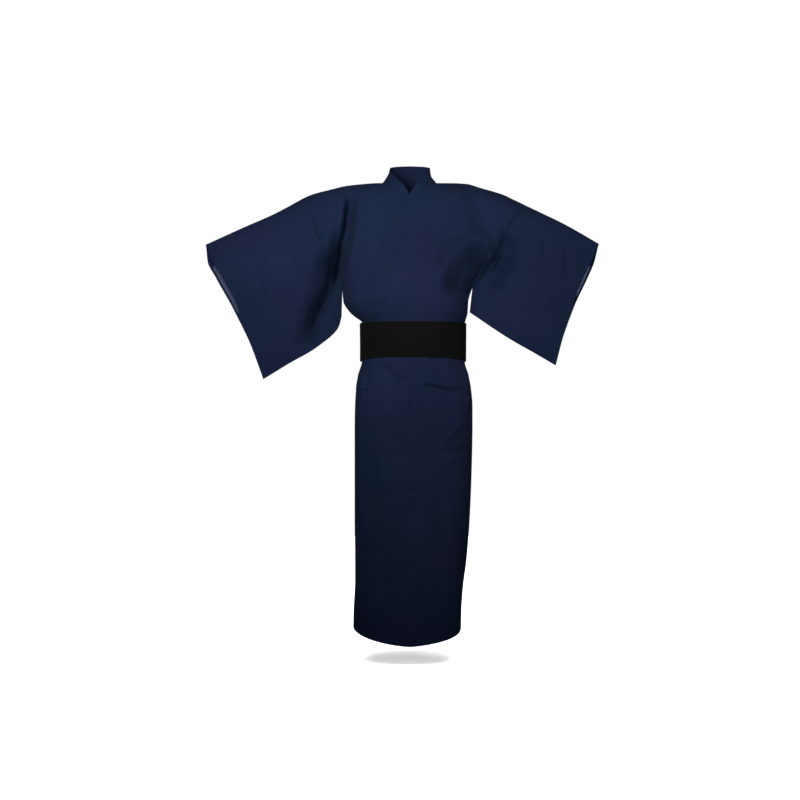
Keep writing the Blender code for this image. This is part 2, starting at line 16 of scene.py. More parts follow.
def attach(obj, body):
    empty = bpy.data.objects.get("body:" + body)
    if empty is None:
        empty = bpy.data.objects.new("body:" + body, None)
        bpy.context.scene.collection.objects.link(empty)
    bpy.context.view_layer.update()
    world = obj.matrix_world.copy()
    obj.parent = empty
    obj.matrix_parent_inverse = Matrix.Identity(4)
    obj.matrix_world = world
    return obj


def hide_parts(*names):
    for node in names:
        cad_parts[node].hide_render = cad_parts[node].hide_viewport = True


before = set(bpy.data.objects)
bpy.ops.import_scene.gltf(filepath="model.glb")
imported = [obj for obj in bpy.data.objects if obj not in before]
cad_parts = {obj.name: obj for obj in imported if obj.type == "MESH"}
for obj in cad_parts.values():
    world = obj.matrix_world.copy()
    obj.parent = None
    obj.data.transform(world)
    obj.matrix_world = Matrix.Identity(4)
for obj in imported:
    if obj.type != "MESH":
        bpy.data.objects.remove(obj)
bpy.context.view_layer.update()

bl_info = {
    "name": "Cotton yukata",
    "version": (1, 0, 0),
    "blender": (4, 5, 0),
    "location": "3D View > Sidebar > Yukata",
    "description": "Builds the panels, collar, sleeves and belt of a worn yukata",
    "category": "Object",
}

FRONT, BACK = -1, 1
RIGHT, LEFT = -1, 1
MM_PER_M = 1000

# The solids' walls, the lap of one front over the other, and heights along the centre line.
WALL = 0.0015
BAND_WALL = 0.0024
BELT_WALL = 0.0024
BELT_CLEAR = 0.0010
LAP = 0.0050
LAP_ENDS = -0.006
LAP_BACK = (0.45, 0.95)
SHOULDER = 0.0
TIP = -0.050
OVERLAP_TOP = -0.061
NAPE = -0.054
ARMPIT = -0.310
BELT_TOP = -0.433
BELT_BOTTOM = -0.540
BELT_SAG = 0.012
BAND_END = -0.640
HEM = -1.411
UNDER_HEM = -1.400
SIDE_RISE = (0.046, 0.037)
BACK_RISE = 0.014
HEM_CURVE = 1.2
HEM_RISE_STARTS = -1.15

# Body form: half widths to the wearer's right and left and depths to the front and back, by height.
FORM = (
    # height, right, left, front, back
    (-1.420, 0.1685, 0.1535, 0.112, 0.118),
    (-1.350, 0.169, 0.155, 0.113, 0.119),
    (-1.260, 0.167, 0.160, 0.114, 0.120),
    (-1.150, 0.167, 0.172, 0.116, 0.122),
    (-1.040, 0.168, 0.180, 0.118, 0.124),
    (-0.900, 0.168, 0.186, 0.120, 0.127),
    (-0.750, 0.168, 0.189, 0.121, 0.130),
    (-0.690, 0.167, 0.189, 0.120, 0.130),
    (-0.640, 0.164, 0.185, 0.117, 0.126),
    (-0.595, 0.157, 0.177, 0.111, 0.119),
    (-0.552, 0.143, 0.1655, 0.103, 0.108),
    (-0.434, 0.143, 0.1655, 0.102, 0.106),
    (-0.400, 0.181, 0.174, 0.114, 0.115),
    (-0.365, 0.203, 0.176, 0.121, 0.119),
    (-0.310, 0.207, 0.193, 0.123, 0.118),
)
ROUNDNESS = 0.87
CHEST_ARCH = 2.4
BACK_ARCH = 2.8
NAPE_RISE = 0.060
NAPE_WIDTH = 0.085
NAPE_STARTS = (0.45, 0.85)
SHOULDER_FLAT = 0.6
ARMHOLE = (
    # rise, right, left
    (0.00, 0.207, 0.193),
    (0.20, 0.238, 0.240),
    (0.42, 0.268, 0.281),
    (0.70, 0.297, 0.289),
    (1.00, 0.324, 0.293),
)
ARMHOLE_DEPTH = 0.058
ARMHOLE_TOP = 4.0
ARMHOLE_FOOT = 3.0
SHOULDER_LINE = (
    # share, right, left
    (0.00, -0.001, -0.001),
    (0.30, -0.001, -0.001),
    (0.45, -0.004, -0.001),
    (0.60, -0.009, -0.003),
    (0.75, -0.020, -0.015),
    (0.90, -0.032, -0.027),
    (1.00, -0.044, -0.036),
)
SHOULDER_FALL = 2.6
SHOULDER_EASE = 1.7

# Seams and edges of the fronts, as distances from the centre towards each front's own side.
FRONT_SEAM = (
    # height, right, left
    (SHOULDER, 0.085, 0.085),
    (TIP, 0.066, 0.061),
    (-0.100, 0.066, 0.049),
    (-0.180, 0.063, 0.042),
    (-0.240, 0.058, 0.035),
    (-0.400, 0.033, 0.017),
    (-0.550, 0.012, 0.004),
    (-0.700, 0.003, 0.001),
    (-0.820, -0.009, -0.009),
    (-0.950, -0.020, -0.020),
    (-1.130, -0.023, -0.023),
    (-1.290, -0.032, -0.032),
    (-1.420, -0.036, -0.036),
)
COLLAR_SEAM = (
    # height, right, left
    (SHOULDER, 0.085, 0.085),
    (TIP, 0.066, 0.061),
    (-0.090, 0.033, 0.029),
    (-0.167, -0.007, -0.009),
    (-0.245, -0.038, -0.038),
    (-0.344, -0.069, -0.069),
    (-0.410, -0.087, -0.087),
    (-0.550, -0.117, -0.117),
    (-0.600, -0.132, -0.132),
    (-0.650, -0.141, -0.141),
)
COLLAR_EDGE = (
    # height, across
    (TIP, -0.0015),
    (-0.121, -0.042),
    (-0.205, -0.080),
    (-0.282, -0.106),
    (-0.344, -0.125),
    (-0.410, -0.141),
    (-0.550, -0.140),
    (-0.600, -0.153),
    (-0.650, -0.160),
)
FREE_EDGE = (
    # height, across
    (-0.600, -0.159),
    (-0.685, -0.157),
    (-0.763, -0.150),
    (-0.825, -0.146),
    (-0.952, -0.148),
    (-1.150, -0.157),
    (-1.361, -0.166),
    (-1.420, -0.167),
)
BACK_NECK = (
    # height, share of the way from the middle of the back to the sleeve
    (NAPE, 0.00),
    (-0.036, 0.125),
    (-0.020, 0.19),
    (-0.008, 0.24),
    (SHOULDER, 0.275),
)
NECK_LEAN = 0.003
NECK_EDGE = (
    # part of the way from the crossing to the middle of the back, across, y, z
    (0.00, -0.0015, -0.0815, -0.050),
    (0.20, 0.019, -0.066, -0.014),
    (0.40, 0.041, -0.043, 0.010),
    (0.55, 0.058, -0.013, 0.035),
    (0.70, 0.061, 0.020, 0.052),
    (0.85, 0.041, 0.052, 0.063),
    (1.00, 0.000, 0.064, 0.067),
)
NECK_ROWS = (
    # way over the shoulder (minus at the front, plus behind), part
    (TIP, 0.00),
    (-0.026, 0.16),
    (-0.009, 0.32),
    (-0.002, 0.43),
    (0.000, 0.50),
    (0.002, 0.56),
    (0.009, 0.64),
    (0.020, 0.74),
    (0.034, 0.84),
    (0.045, 0.92),
    (0.054, 1.00),
)

# Sleeves.
SLEEVE_TOP = (
    # share, right out, right z, left out, left z
    (0.00, 0.324, -0.044, 0.293, -0.036),
    (0.33, 0.417, -0.096, 0.389, -0.083),
    (0.66, 0.512, -0.140, 0.482, -0.129),
    (1.00, 0.626, -0.194, 0.585, -0.189),
)
SLEEVE_BOTTOM = (
    # share, right out, right z, left out, left z
    (0.00, 0.2105, -0.412, 0.1870, -0.398),
    (0.12, 0.220, -0.445, 0.212, -0.415),
    (0.40, 0.293, -0.510, 0.307, -0.478),
    (0.70, 0.374, -0.559, 0.390, -0.526),
    (1.00, 0.449, -0.606, 0.452, -0.563),
)
SLEEVE_CUFF = (
    # share, right out, right z, left out, left z
    (0.00, 0.626, -0.194, 0.585, -0.189),
    (0.12, 0.624, -0.240, 0.575, -0.240),
    (0.25, 0.599, -0.292, 0.556, -0.288),
    (0.50, 0.543, -0.390, 0.511, -0.381),
    (0.75, 0.490, -0.495, 0.475, -0.475),
    (1.00, 0.449, -0.606, 0.452, -0.563),
)
ARMHOLE_SHARE = 0.72
CUFF_OPEN = 0.66
CUFF_CLOSE = 3.0
CUFF_DEPTH = 0.032
CUFF_TURN = {RIGHT: 0.031, LEFT: 0.023}
CUFF_ROUND = 0.7
CUFF_NARROW = {RIGHT: 5.0, LEFT: 2.5}
# Painted highlight: a pale strip painted inside each cuff opening, on the back layer, in place of light on
# the cloth there. It is painted stronger on the left cuff, which lies in shade.
CUFF_HIGHLIGHT_FROM = (0.15, 0.20)
CUFF_HIGHLIGHT_TO = {RIGHT: (0.50, 0.58), LEFT: (0.38, 0.44)}
CUFF_HIGHLIGHT_STRENGTH = {RIGHT: 1.1, LEFT: 4.4}
SLEEVE_FULL = 0.016
SLEEVE_FULL_CURVE = (1.4, 0.6)
SLEEVE_FORWARD = {RIGHT: 0.030, LEFT: 0.012}
NORMAL_STEP = 0.004  # the step on the form from which a normal is taken
NECK_TUCK = 0.004  # how much further the back reaches up into the collar band
CLOSED = 0.0007  # half of the gap between two layers sewn together

# The belt.
BELT_START = 165.0
BELT_LAP = 45.0
BELT_RAMP = 40.0


def in_metres(*rows):
    """Folds from rows in mm: half width (or a right and a left one), height, sharpness and (x, z) points."""
    return [
        (np.divide(wide, MM_PER_M), high / MM_PER_M, sharp, np.divide(points, MM_PER_M))
        for wide, high, sharp, *points in rows
    ]


# Folds of the cloth, as ridges (+) and troughs (-) over a line of points.
FOLD_ENDS = (0.20, 0.25)
FOLD_MARGINS = (0.08, 0.30, 0.15)
FOLD_TOP = -0.03
SIDE_PLAIN = 0.8
ARMHOLE_MARGIN = 0.06
SLEEVE_PLAIN = 0.05  # the shares of a sleeve that its fine creases leave plain
CUFF_PLAIN = 0.04
DRAPE_MARGINS = (0.08, 0.35, 0.06)  # of a sleeve: beside its folds, beyond the armhole, before the cuff

# The solids' own large folds.
FOLDS = {
    FRONT: in_metres(
        (24, -14, 0, (-183, -30), (-200, -170), (-234, -295), (-300, -480)),
        (24, 8, 0, (-225, -60), (-250, -220), (-290, -340), (-335, -470)),
        (22, 6, 0, (-150, -60), (-165, -200), (-190, -300)),
        (22, -11, 0, (95, -300), (119, -242), (155, -208), (195, -215), (210, -290)),
        (22, 6, 0, (110, -190), (150, -165), (200, -165), (240, -230)),
        (18, -5, 0, (218, -50), (262, -180)),
        (20, -6, 0, (349, -95), (305, -200), (270, -330)),
    ),
    BACK: in_metres(
        (24, -10, 0, (200, -40), (215, -170), (240, -300), (300, -450)),
        (24, -12, 0, (-205, -40), (-220, -170), (-250, -300), (-310, -470)),
        (26, -7, 0, (130, -405), (100, -300), (95, -180)),
        (26, -7, 0, (-135, -405), (-105, -300), (-100, -190)),
        (30, -8, 0, (60, -575), (75, -800), (70, -1050)),
        (30, -7, 0, (-55, -575), (-75, -760), (-82, -980)),
    ),
}
# On the chest, the back and the skirt.
CREASES = {
    FRONT: in_metres(
        (2.8, -2.2, 0.5, (1, -540), (1, -640), (0, -790)),
        (3.2, -3.4, 0.6, (-62, -560), (-30, -553), (2, -553)),
        (2.9, -2.7, 0.6, (-49, -569), (-30, -561), (-4, -559)),
        (3.2, -3.2, 0.6, (-64, -617), (-30, -612), (0, -613)),
        (2.9, -2.4, 0.6, (-50, -624), (-30, -619), (-6, -618)),
        (3.6, -4.3, 0.6, (-66, -744), (-32, -736), (-2, -732)),
        (3.2, -3.4, 0.6, (-52, -752), (-32, -744), (-8, -738)),
        (3.2, -3, 0.6, (-42, -736), (-14, -722)),
        (3.2, -3.2, 0.6, (-60, -788), (-30, -784), (-6, -783)),
        (2.9, -2.4, 0.6, (-48, -795), (-30, -791), (-11, -788)),
        (3.2, -2.7, 0.5, (-60, -842), (-30, -838), (-10, -837)),
        (2.9, -2.1, 0.5, (-48, -850), (-30, -846), (-14, -843)),
        (3.2, -3.2, 0.6, (2, -723), (34, -725), (66, -728)),
        (2.9, -2.4, 0.6, (15, -730), (34, -732), (60, -733)),
        (2.9, -2.1, 0.6, (24, -715), (53, -718)),
        (3.2, -3.2, 0.6, (22, -768), (42, -775), (70, -782)),
        (2.9, -2.4, 0.6, (30, -776), (42, -783), (64, -788)),
        (3.6, -3.9, 0.6, (-18, -938), (12, -941), (42, -946)),
        (3.2, -3, 0.6, (-6, -945), (12, -948), (36, -951)),
        (3.2, -3.2, 0.6, (-18, -970), (12, -967), (40, -965)),
        (2.9, -2.4, 0.6, (-6, -978), (12, -975), (34, -971)),
        (2.9, -2.1, 0.6, (3, -962), (29, -955)),
        (3.2, -2.7, 0.5, (-82, -938), (-69, -941), (-56, -942)),
        (2.9, -2.1, 0.5, (-77, -945), (-69, -948), (-59, -947)),
        (6.5, 8, 0.4, (20, -612), (50, -618), (96, -626), (140, -631), (166, -634)),
        (8, -7.6, 0.4, (34, -628), (75, -636), (114, -645), (150, -650)),
        (7, -4.6, 0.5, (58, -532), (80, -560), (106, -596)),
        (8, 4.6, 0.3, (-88, -544), (-46, -577), (-6, -606)),
        (9, -4.2, 0.3, (-92, -566), (-52, -598), (-16, -624)),
        (8, 3.8, 0.3, (-80, -676), (-44, -742), (-8, -808)),
        (8, 4.2, 0.3, (162, -728), (128, -768), (92, -804)),
        (11, -3.4, 0.3, (86, -824), (134, -828), (176, -822)),
        (6, 4.2, 0.4, (-132, -548), (-141, -700), (-145, -819), (-146, -1060)),
        (7, 4.9, 0.4, (162, -560), (172, -640), (173, -712)),
        (14, -5.2, 0.2, (-100, -800), (-110, -930), (-108, -1080)),
        (16, -5.2, 0.2, (80, -860), (96, -1000), (92, -1180)),
        (16, 3.9, 0.2, (40, -960), (50, -1120), (46, -1260)),
        (18, -4.7, 0.2, (-60, -1060), (-78, -1200), (-80, -1330)),
        (5.5, -1.6, 0.5, (66, -70), (52, -90), (30, -104)),
        (5.5, -1.4, 0.5, (62, -150), (46, -168), (26, -176)),
        (5.5, -1.4, 0.5, (56, -212), (40, -228), (20, -236)),
        (6, -1.6, 0.5, (50, -290), (30, -304), (6, -308)),
        (5.5, -1.4, 0.5, (-90, -60), (-72, -84), (-52, -96)),
        (5.5, -1.4, 0.5, (-94, -120), (-74, -140), (-56, -150)),
        (6, -1.6, 0.5, (-100, -196), (-80, -214), (-66, -220)),
        (8, -2.2, 0.4, (-96, -392), (-70, -360), (-52, -318)),
        (8, -2.2, 0.4, (112, -400), (104, -370), (84, -338)),
    ),
    BACK: in_metres(
        (7, -2.6, 0.5, (116, -396), (100, -350), (70, -300)),
        (7, -2.4, 0.5, (-120, -398), (-98, -352), (-64, -310)),
        (7, -2, 0.5, (40, -404), (34, -360), (20, -310)),
        (6, -1.6, 0.5, (-50, -402), (-40, -366), (-36, -320)),
        (6, -1.6, 0.5, (60, -100), (30, -112), (-10, -108)),
        (6.5, -2, 0.5, (120, -560), (90, -590), (50, -606)),
        (6.5, -2, 0.5, (-124, -562), (-96, -600), (-52, -622)),
        (6, -1.6, 0.5, (70, -700), (30, -712), (-10, -706)),
        (6, -1.4, 0.5, (-80, -790), (-40, -800), (0, -796)),
        (6, -1.4, 0.5, (90, -930), (50, -938), (14, -934)),
        (16, -4, 0.2, (110, -760), (122, -940), (116, -1140)),
        (16, -4, 0.2, (-112, -820), (-124, -990), (-118, -1200)),
        (18, 3, 0.2, (20, -900), (26, -1080), (20, -1260)),
        (14, -3.4, 0.2, (-36, -980), (-44, -1130), (-40, -1300)),
    ),
}
# Round the arms, on the body and the sleeves alike.
DRAPE = {
    FRONT: in_metres(
        ((9, 16), -40, 0.2, (-183, -20), (-184, -66), (-189, -112), (-195, -158), (-203, -201), (-212, -240),
            (-221, -277), (-230, -326), (-244, -363)),
        (16, -4, 0.2, (-159, -100), (-162, -218), (-165, -320)),
        (35, 10, 0, (-312, 0), (-297, -100), (-284, -160), (-262, -220), (-235, -262)),
        (35, 10, 0, (300, 10), (292, -100), (286, -160), (272, -200), (250, -235)),
        ((16, 23), -21, 0, (182, -370), (199, -335), (215, -298), (232, -268), (256, -243)),
        ((40, 34), -43, 0, (155, -366), (158, -330), (166, -297), (186, -269), (216, -251), (256, -244)),
        ((16, 26), -20, 0, (258, -345), (272, -302), (288, -264), (314, -226)),
        (10, -6, 0.4, (325, -196), (284, -229), (278, -270), (252, -322), (215, -330)),
        (14, 5, 0, (254, -220), (248, -262), (240, -306)),
        (20, -10, 0, (185, 0), (203, -100), (220, -145), (247, -183), (280, -225)),
        (7, -8.5, 0.9, (356, -70), (330, -110), (308, -134), (295, -180), (284, -220)),
        (7, 6.2, 0.5, (268, -125), (273, -156), (277, -205)),
        (7, -6.6, 0.8, (-298, -110), (-288, -145), (-272, -192)),
        (10, -5.8, 0.3, (-500, -232), (-439, -205), (-378, -174), (-323, -178), (-262, -194)),
        (8, -6.2, 0.6, (-434, -190), (-443, -240), (-451, -303), (-440, -390)),
        (8, -6.2, 0.5, (-390, -172), (-370, -204), (-347, -236), (-320, -286)),
        (8, -6, 0.6, (408, -250), (420, -284), (432, -339), (449, -412)),
        (9, -5.4, 0.5, (479, -176), (478, -248), (475, -330)),
        (7, 5, 0.4, (392, -168), (396, -200), (401, -234)),
    ),
    BACK: in_metres(
        (11, -10, 0.7, (186, -45), (200, -130), (214, -210), (226, -300)),
        (12, 5, 0.3, (204, -50), (222, -130), (238, -205)),
        (11, -10, 0.7, (-190, -40), (-204, -125), (-214, -200), (-222, -300)),
        (12, 5, 0.3, (-208, -45), (-226, -125), (-240, -196)),
        (35, 9, 0, (-312, 0), (-297, -100), (-284, -160), (-262, -220), (-235, -262)),
        (35, 9, 0, (300, 10), (292, -100), (286, -160), (272, -200), (250, -235)),
        (10, -3.4, 0.4, (-340, -110), (-380, -170), (-400, -250), (-404, -340)),
        (9, -3, 0.4, (-460, -190), (-470, -260), (-462, -350)),
        (10, -3.4, 0.4, (336, -104), (372, -160), (388, -240), (392, -330)),
        (9, -3, 0.4, (450, -180), (462, -250), (452, -340)),
        (12, -4, 0.3, (310, -230), (340, -310), (352, -400)),
        (12, -4, 0.3, (-306, -240), (-336, -330), (-352, -430)),
    ),
}
# Where front and back swing forward (+) or back (-) together.
SWAY = in_metres(
    (30, -24, 0.1, (-200, -170), (-230, -244), (-250, -300), (-274, -372), (-296, -450), (-312, -560)),
    ((19, 6), -36, 0.2, (-206, -136), (-212, -205), (-220, -254), (-229, -304), (-246, -347),
        (-274, -391), (-293, -434), (-305, -521)),
    (16, 13, 0, (-210, -265), (-230, -325), (-252, -380), (-268, -436), (-288, -520)),
    (45, 8, 0, (-345, -180), (-368, -320), (-400, -440), (-430, -600)),
    ((30, 18), -25, 0.2, (335, -170), (288, -218), (266, -258), (248, -302), (222, -390)),
)
SWAY_FROM = {FRONT: (0.50, 0.80), BACK: (0.75, 0.98)}

# How the edge of a cloth is worked, as eight (distance in from the edge, depth in layers) points.
FOLDED_EDGE = ((0.0, 0.5), (0.0005, 0.08), (0.0018, 0.0), (0.0050, 0.0))
TURNED = ((0.0085, 1.0), (0.0055, 1.0), (0.0020, 1.0), (0.0005, 0.92), *FOLDED_EDGE)  # a seam allowance
HEMMED = ((0.0125, 1.05), (0.0070, 1.0), (0.0020, 1.0), (0.0005, 0.92), *FOLDED_EDGE)  # a wider fold
CUFFED = ((0.0180, 1.05), (0.0090, 1.0), (0.0045, 1.0), (0.0006, 0.92), *FOLDED_EDGE)  # the widest
TUCKED = (  # going on under its neighbour's fold
    (-0.0080, 2.3), (-0.0045, 2.3), (-0.0015, 2.25), (-0.0002, 2.15),
    (0.0012, 1.6), (0.0028, 0.75), (0.0050, 0.15), (0.0080, 0.0),
)
SLIPPED = (  # going into the collar band, between its two layers
    (-0.0080, 0.2), (-0.0045, 0.2), (-0.0015, 0.2), (-0.0002, 0.2),
    (0.0012, 0.15), (0.0028, 0.08), (0.0050, 0.02), (0.0080, 0.0),
)
EDGE_ZONE = 0.0115  # where the even columns or rows start
NO_EDGE = 1.0  # the distance to an edge that a piece hasn't got
EDGE_LESS = 4  # how many fewer even columns or rows a sewn sheet has than its clean grid

# The collar band and the belt are folded round themselves: their edges as (distance in, share of the depth).
COLLAR_SEAMED = (  # its depths are in layers
    (0.0085, 1.0), (0.0055, 1.0), (0.0020, 1.0), (0.0004, 0.92), (0.0, 0.5), (0.0004, 0.08), (0.0018, 0.0),
)
COLLAR_FOLD = ((0.0045, 0.02), (0.0020, 0.09), (0.0007, 0.26), (0.0, 0.5))
COLLAR_FLAT = (0.0040, 0.0070)  # where its flat faces end, in from the seam and from the fold
COLLAR_FLAT_STEPS = 11
COLLAR_CROWN = 0.0005
COLLAR_CLOSED = 0.12  # the share of its depth that is left at its ends
COLLAR_WORN = 0.03  # how far from its fold the fold's wear can reach
COLLAR_COLUMNS = 13
COLLAR_ROWS = 260
COLLAR_BLENDED = (20, 14)  # rows smoothed before and after the crossing
COLLAR_SMOOTHINGS = 60
COLLAR_EASED_IN = 0.4  # the part of its way round the neck over which it moves inside the seam
BELT_FOLD = ((0.0030, 0.01), (0.0012, 0.07), (0.0004, 0.22), (0.0, 0.5))
BELT_FLAT = (0.005, 0.005)
BELT_COLUMNS = 17
BELT_HALF_STEPS = 10
BELT_FACE_STEPS = 21
BELT_CLOSED = 0.15
BELT_UNDER_LAP = 0.6  # the share of the back over which it leaves the lapped fronts
BAND_END_ROWS = 1.2  # the rows over which a band closes at its ends

# The mesh.
FORM_WAYS = 1200  # places on the form from which the rows are spaced
COARSE_SHARES = 41
SEARCH_STEPS = 24
LINE_STEPS = 4  # pieces of a fold's line to each of its points
CREASE_POWER = 2.5
CREASED_TO = (-0.92, -0.99)  # heights between which the skirt's rows grow apart
BACK_COARSER = (1.6, 2.3, 1.0)  # how much further apart the back's rows are than the front's
RIPPLE_WIDE = (9.0, 9.0, 5.0)  # waves to a metre
RIPPLE_FINE = (34.0, 34.0, 21.0)
RIPPLE_FINE_SHARE = 0.35
BELT_BEND = (0.035, 9.0, 3.0)

# Dyes and weaves. A noise's stretch is in waves to a metre across and along the cloth.
WARM_DYE = (1.13, 0.95, 1.00)
COOL_DYE = (0.88, 1.05, 1.00)
WARP_SLUBS = (620.0, 9.0, 1.0)
WEFT_SLUBS = (11.0, 560.0, 1.0)
FUZZ = (900.0, 900.0, 1.0)
SOFT_CREASES = (38.0, 22.0, 1.0)
CLOUDS, HUE_CLOUDS, WEAR_SPECKS, BELT_CLOUDS, FLOOR_CLOUDS = 5.0, 3.4, 160.0, 9.0, 1.2
NOISE_SPAN = (0.25, 0.75)
NOISE_MIDDLE = (0.35, 0.65)
HUE_SPAN = (0.36, 0.64)
THREAD_CONTRAST = 0.10
RIB_CONTRAST = 0.16
BELT_TONES = (0.88, 1.12)

# Wear, from an edge to where it ends, and its strength against the cotton's hems.
HEM_WORN = (0.0, 0.0022)
SEAM_PRESSED = (0.0, 0.0030)
BELT_WORN = (0.0, 0.0020)
LEAST_WEAR = 0.3
SEAM_WEAR = 0.35
BELT_WEAR = 1.5

# Bumps as (distance, strength), and roughness as (what the noise or wave adds, base).
SOFT_BUMP = (0.004, 0.10)
YARN_BUMP = (0.0006, 0.35)
WEAVE_BUMP = (0.00012, 0.5)
RIB_BUMP = (0.00022, 0.6)
THREAD_BUMP = (0.00008, 0.4)
COTTON_ROUGHNESS = (0.12, 0.84)
BELT_ROUGHNESS = (0.05, 0.78)
DULL = 0.10
SHEEN_TINT = (0.55, 0.62, 0.85, 1.0)
COTTON_SHEEN_ROUGHNESS = 0.55
BELT_SHEEN = 0.6
BELT_SHEEN_ROUGHNESS = 0.6
FLOOR_COLOUR = (0.93, 0.93, 0.93)
FLOOR_SPAN = (0.3, 0.7)
FLOOR_LEAST = 0.985
FLOOR_ROUGHNESS = 0.9

# The stage.
CAMERA = (-0.029, -3.6, -0.670)
LENS = 52.26
SENSOR = 36.0
FLOOR = HEM - 0.055
FLOOR_HALF = 3.2
BACKDROP_COLOUR = (1.0, 1.0, 1.0, 1.0)
ROOM_COLOUR = (0.93, 0.96, 1.0, 1.0)
ROOM_LIGHT = 0.045
BEAM = 88.0
LIGHTS = (
    # name, place, size, power, aim
    ("key", (-0.60, -1.80, -0.05), (1.1, 0.5), 5.7, (-0.02, 0.0, -0.09)),
    ("side_light", (1.70, -1.50, -0.05), (0.8, 0.8), 1.9, (0.30, 0.0, -0.15)),
    ("back_light", (0.30, 1.90, 0.20), (1.4, 0.7), 5.6, (-0.02, 0.0, -0.40)),
    ("floor_light", (0.0, 0.5, 5.0), (7.0, 7.0), 540.0, (0.0, 0.5, -1.5)),
    ("shade_light", (0.0, 0.5, 5.0), (7.0, 7.0), 860.0, (0.0, 0.5, -1.5)),
)
FLOOR_LIGHTS = ("floor_light", "shade_light")  # these fall on the floor alone


def ease(low, high, at):
    """0 below low, 1 above high, and a smooth way between."""
    share = np.clip((np.asarray(at, float) - low) / (high - low), 0.0, 1.0)
    return share * share * (3.0 - 2.0 * share)


def mix(first, second, share):
    return first + (second - first) * share


def along(rows, at):
    """The columns of a table at places between its rows, on smooth curves that don't overshoot."""
    table = np.array(sorted(rows), float)
    knots, values = table[:, 0], table[:, 1:]
    at = np.clip(np.asarray(at, float), knots[0], knots[-1])
    gaps = np.diff(knots)
    steps = np.diff(values, axis=0) / gaps[:, None]
    slopes = np.empty_like(values)
    slopes[0], slopes[-1] = steps[0], steps[-1]
    before, after = steps[:-1], steps[1:]
    same_way = before * after > 0
    slopes[1:-1] = np.where(same_way, 2 * before * after / np.where(same_way, before + after, 1.0), 0.0)
    index = np.clip(np.searchsorted(knots, at, side="left") - 1, 0, len(gaps) - 1)
    span = gaps[index][..., None]
    t = (at - knots[index])[..., None] / span
    curve = (
        values[index] * (1 + 2 * t) * (1 - t) ** 2
        + values[index + 1] * t * t * (3 - 2 * t)
        + span * (slopes[index] * t * (1 - t) ** 2 - slopes[index + 1] * t * t * (1 - t))
    )
    return np.moveaxis(curve, -1, 0)


def of_side(side, right, left):
    """The value of each place's own side."""
    return np.where(side == LEFT, left, right)


def form_point(face, side, share, height):
    """Points of the body form: share runs from the centre line, 0, to the side seam or armhole, 1."""
    face, side, share, height = np.broadcast_arrays(face, side, np.asarray(share, float), height)
    angle = share * pi / 2
    across = np.clip(np.sin(angle), 0.0, None) ** ROUNDNESS
    deep = np.clip(np.cos(angle), 0.0, None) ** ROUNDNESS
    right, left, front, back = along(FORM, np.minimum(height, ARMPIT))
    width = of_side(side, right, left)
    depth = np.where(face == FRONT, front, back)
    side_rise = of_side(side, *SIDE_RISE)
    lift = np.where(face == FRONT, side_rise * share**HEM_CURVE, mix(BACK_RISE, side_rise, share))
    lift = lift * ease(-HEM_RISE_STARTS, -HEM, -height)
    low = np.stack([side * width * across, face * depth * deep, height + lift], axis=-1)
    rise = np.clip((height - ARMPIT) / (SHOULDER - ARMPIT), 0.0, 1.0)
    edge = of_side(side, *along(ARMHOLE, rise))
    top = of_side(side, *along(SHOULDER_LINE, share))
    flat = ease(0.0, SHOULDER_FLAT, rise)
    arch = np.where(face == FRONT, CHEST_ARCH, BACK_ARCH)
    middle_depth = depth * (1 - rise**arch) ** (1 / arch)
    edge_depth = ARMHOLE_DEPTH * (1 - rise**ARMHOLE_TOP) ** 0.5 * (1 - (1 - rise) ** ARMHOLE_FOOT)
    fall = mix(deep, (1 - share**SHOULDER_FALL) ** SHOULDER_EASE, flat)
    x = side * edge * mix(across, share, flat)
    y = face * (edge_depth + (middle_depth - edge_depth) * fall)
    nape = NAPE_RISE * np.clip(1 - (x / NAPE_WIDTH) ** 2, 0.0, None) ** 2 * ease(*NAPE_STARTS, rise)
    z = ARMPIT + (top - ARMPIT) * rise + np.where(face == BACK, nape, 0.0)
    high = np.stack([x, y, z], axis=-1)
    return np.where((height <= ARMPIT)[..., None], low, high)


def signed_point(face, side, share, height):
    """Points of the form where a share below 0 lies past the centre line, on the other side."""
    return form_point(face, np.where(share >= 0, side, -side), np.abs(share), height)


def share_at(face, side, x, height):
    """The share at which the form is this far across."""
    x, height = np.broadcast_arrays(np.abs(x), height)
    low, high = np.zeros(x.shape), np.ones(x.shape)
    for _ in range(SEARCH_STEPS):
        middle = (low + high) / 2
        short = np.abs(form_point(face, side, middle, height)[..., 0]) < x
        low, high = np.where(short, middle, low), np.where(short, high, middle)
    return (low + high) / 2


def signed_share(x, height):
    """The share of a place on the front, plus towards the wearer's left."""
    side = np.where(np.asarray(x) >= 0, LEFT, RIGHT)
    return side * share_at(FRONT, side, x, height)


def over_lap(height):
    """How far the over front stands out: a full lap below the crossing, none on the shoulder."""
    return LAP * (1 - ease(TIP, LAP_ENDS, height))


def body_lap(face, side, share, height):
    """How far a body panel stands out: the left goes over the right, and comes back to the form behind."""
    lap = over_lap(height) * np.where(face == FRONT, 1.0, ease(*LAP_BACK, share))
    return np.where(side == RIGHT, 0.0, lap)


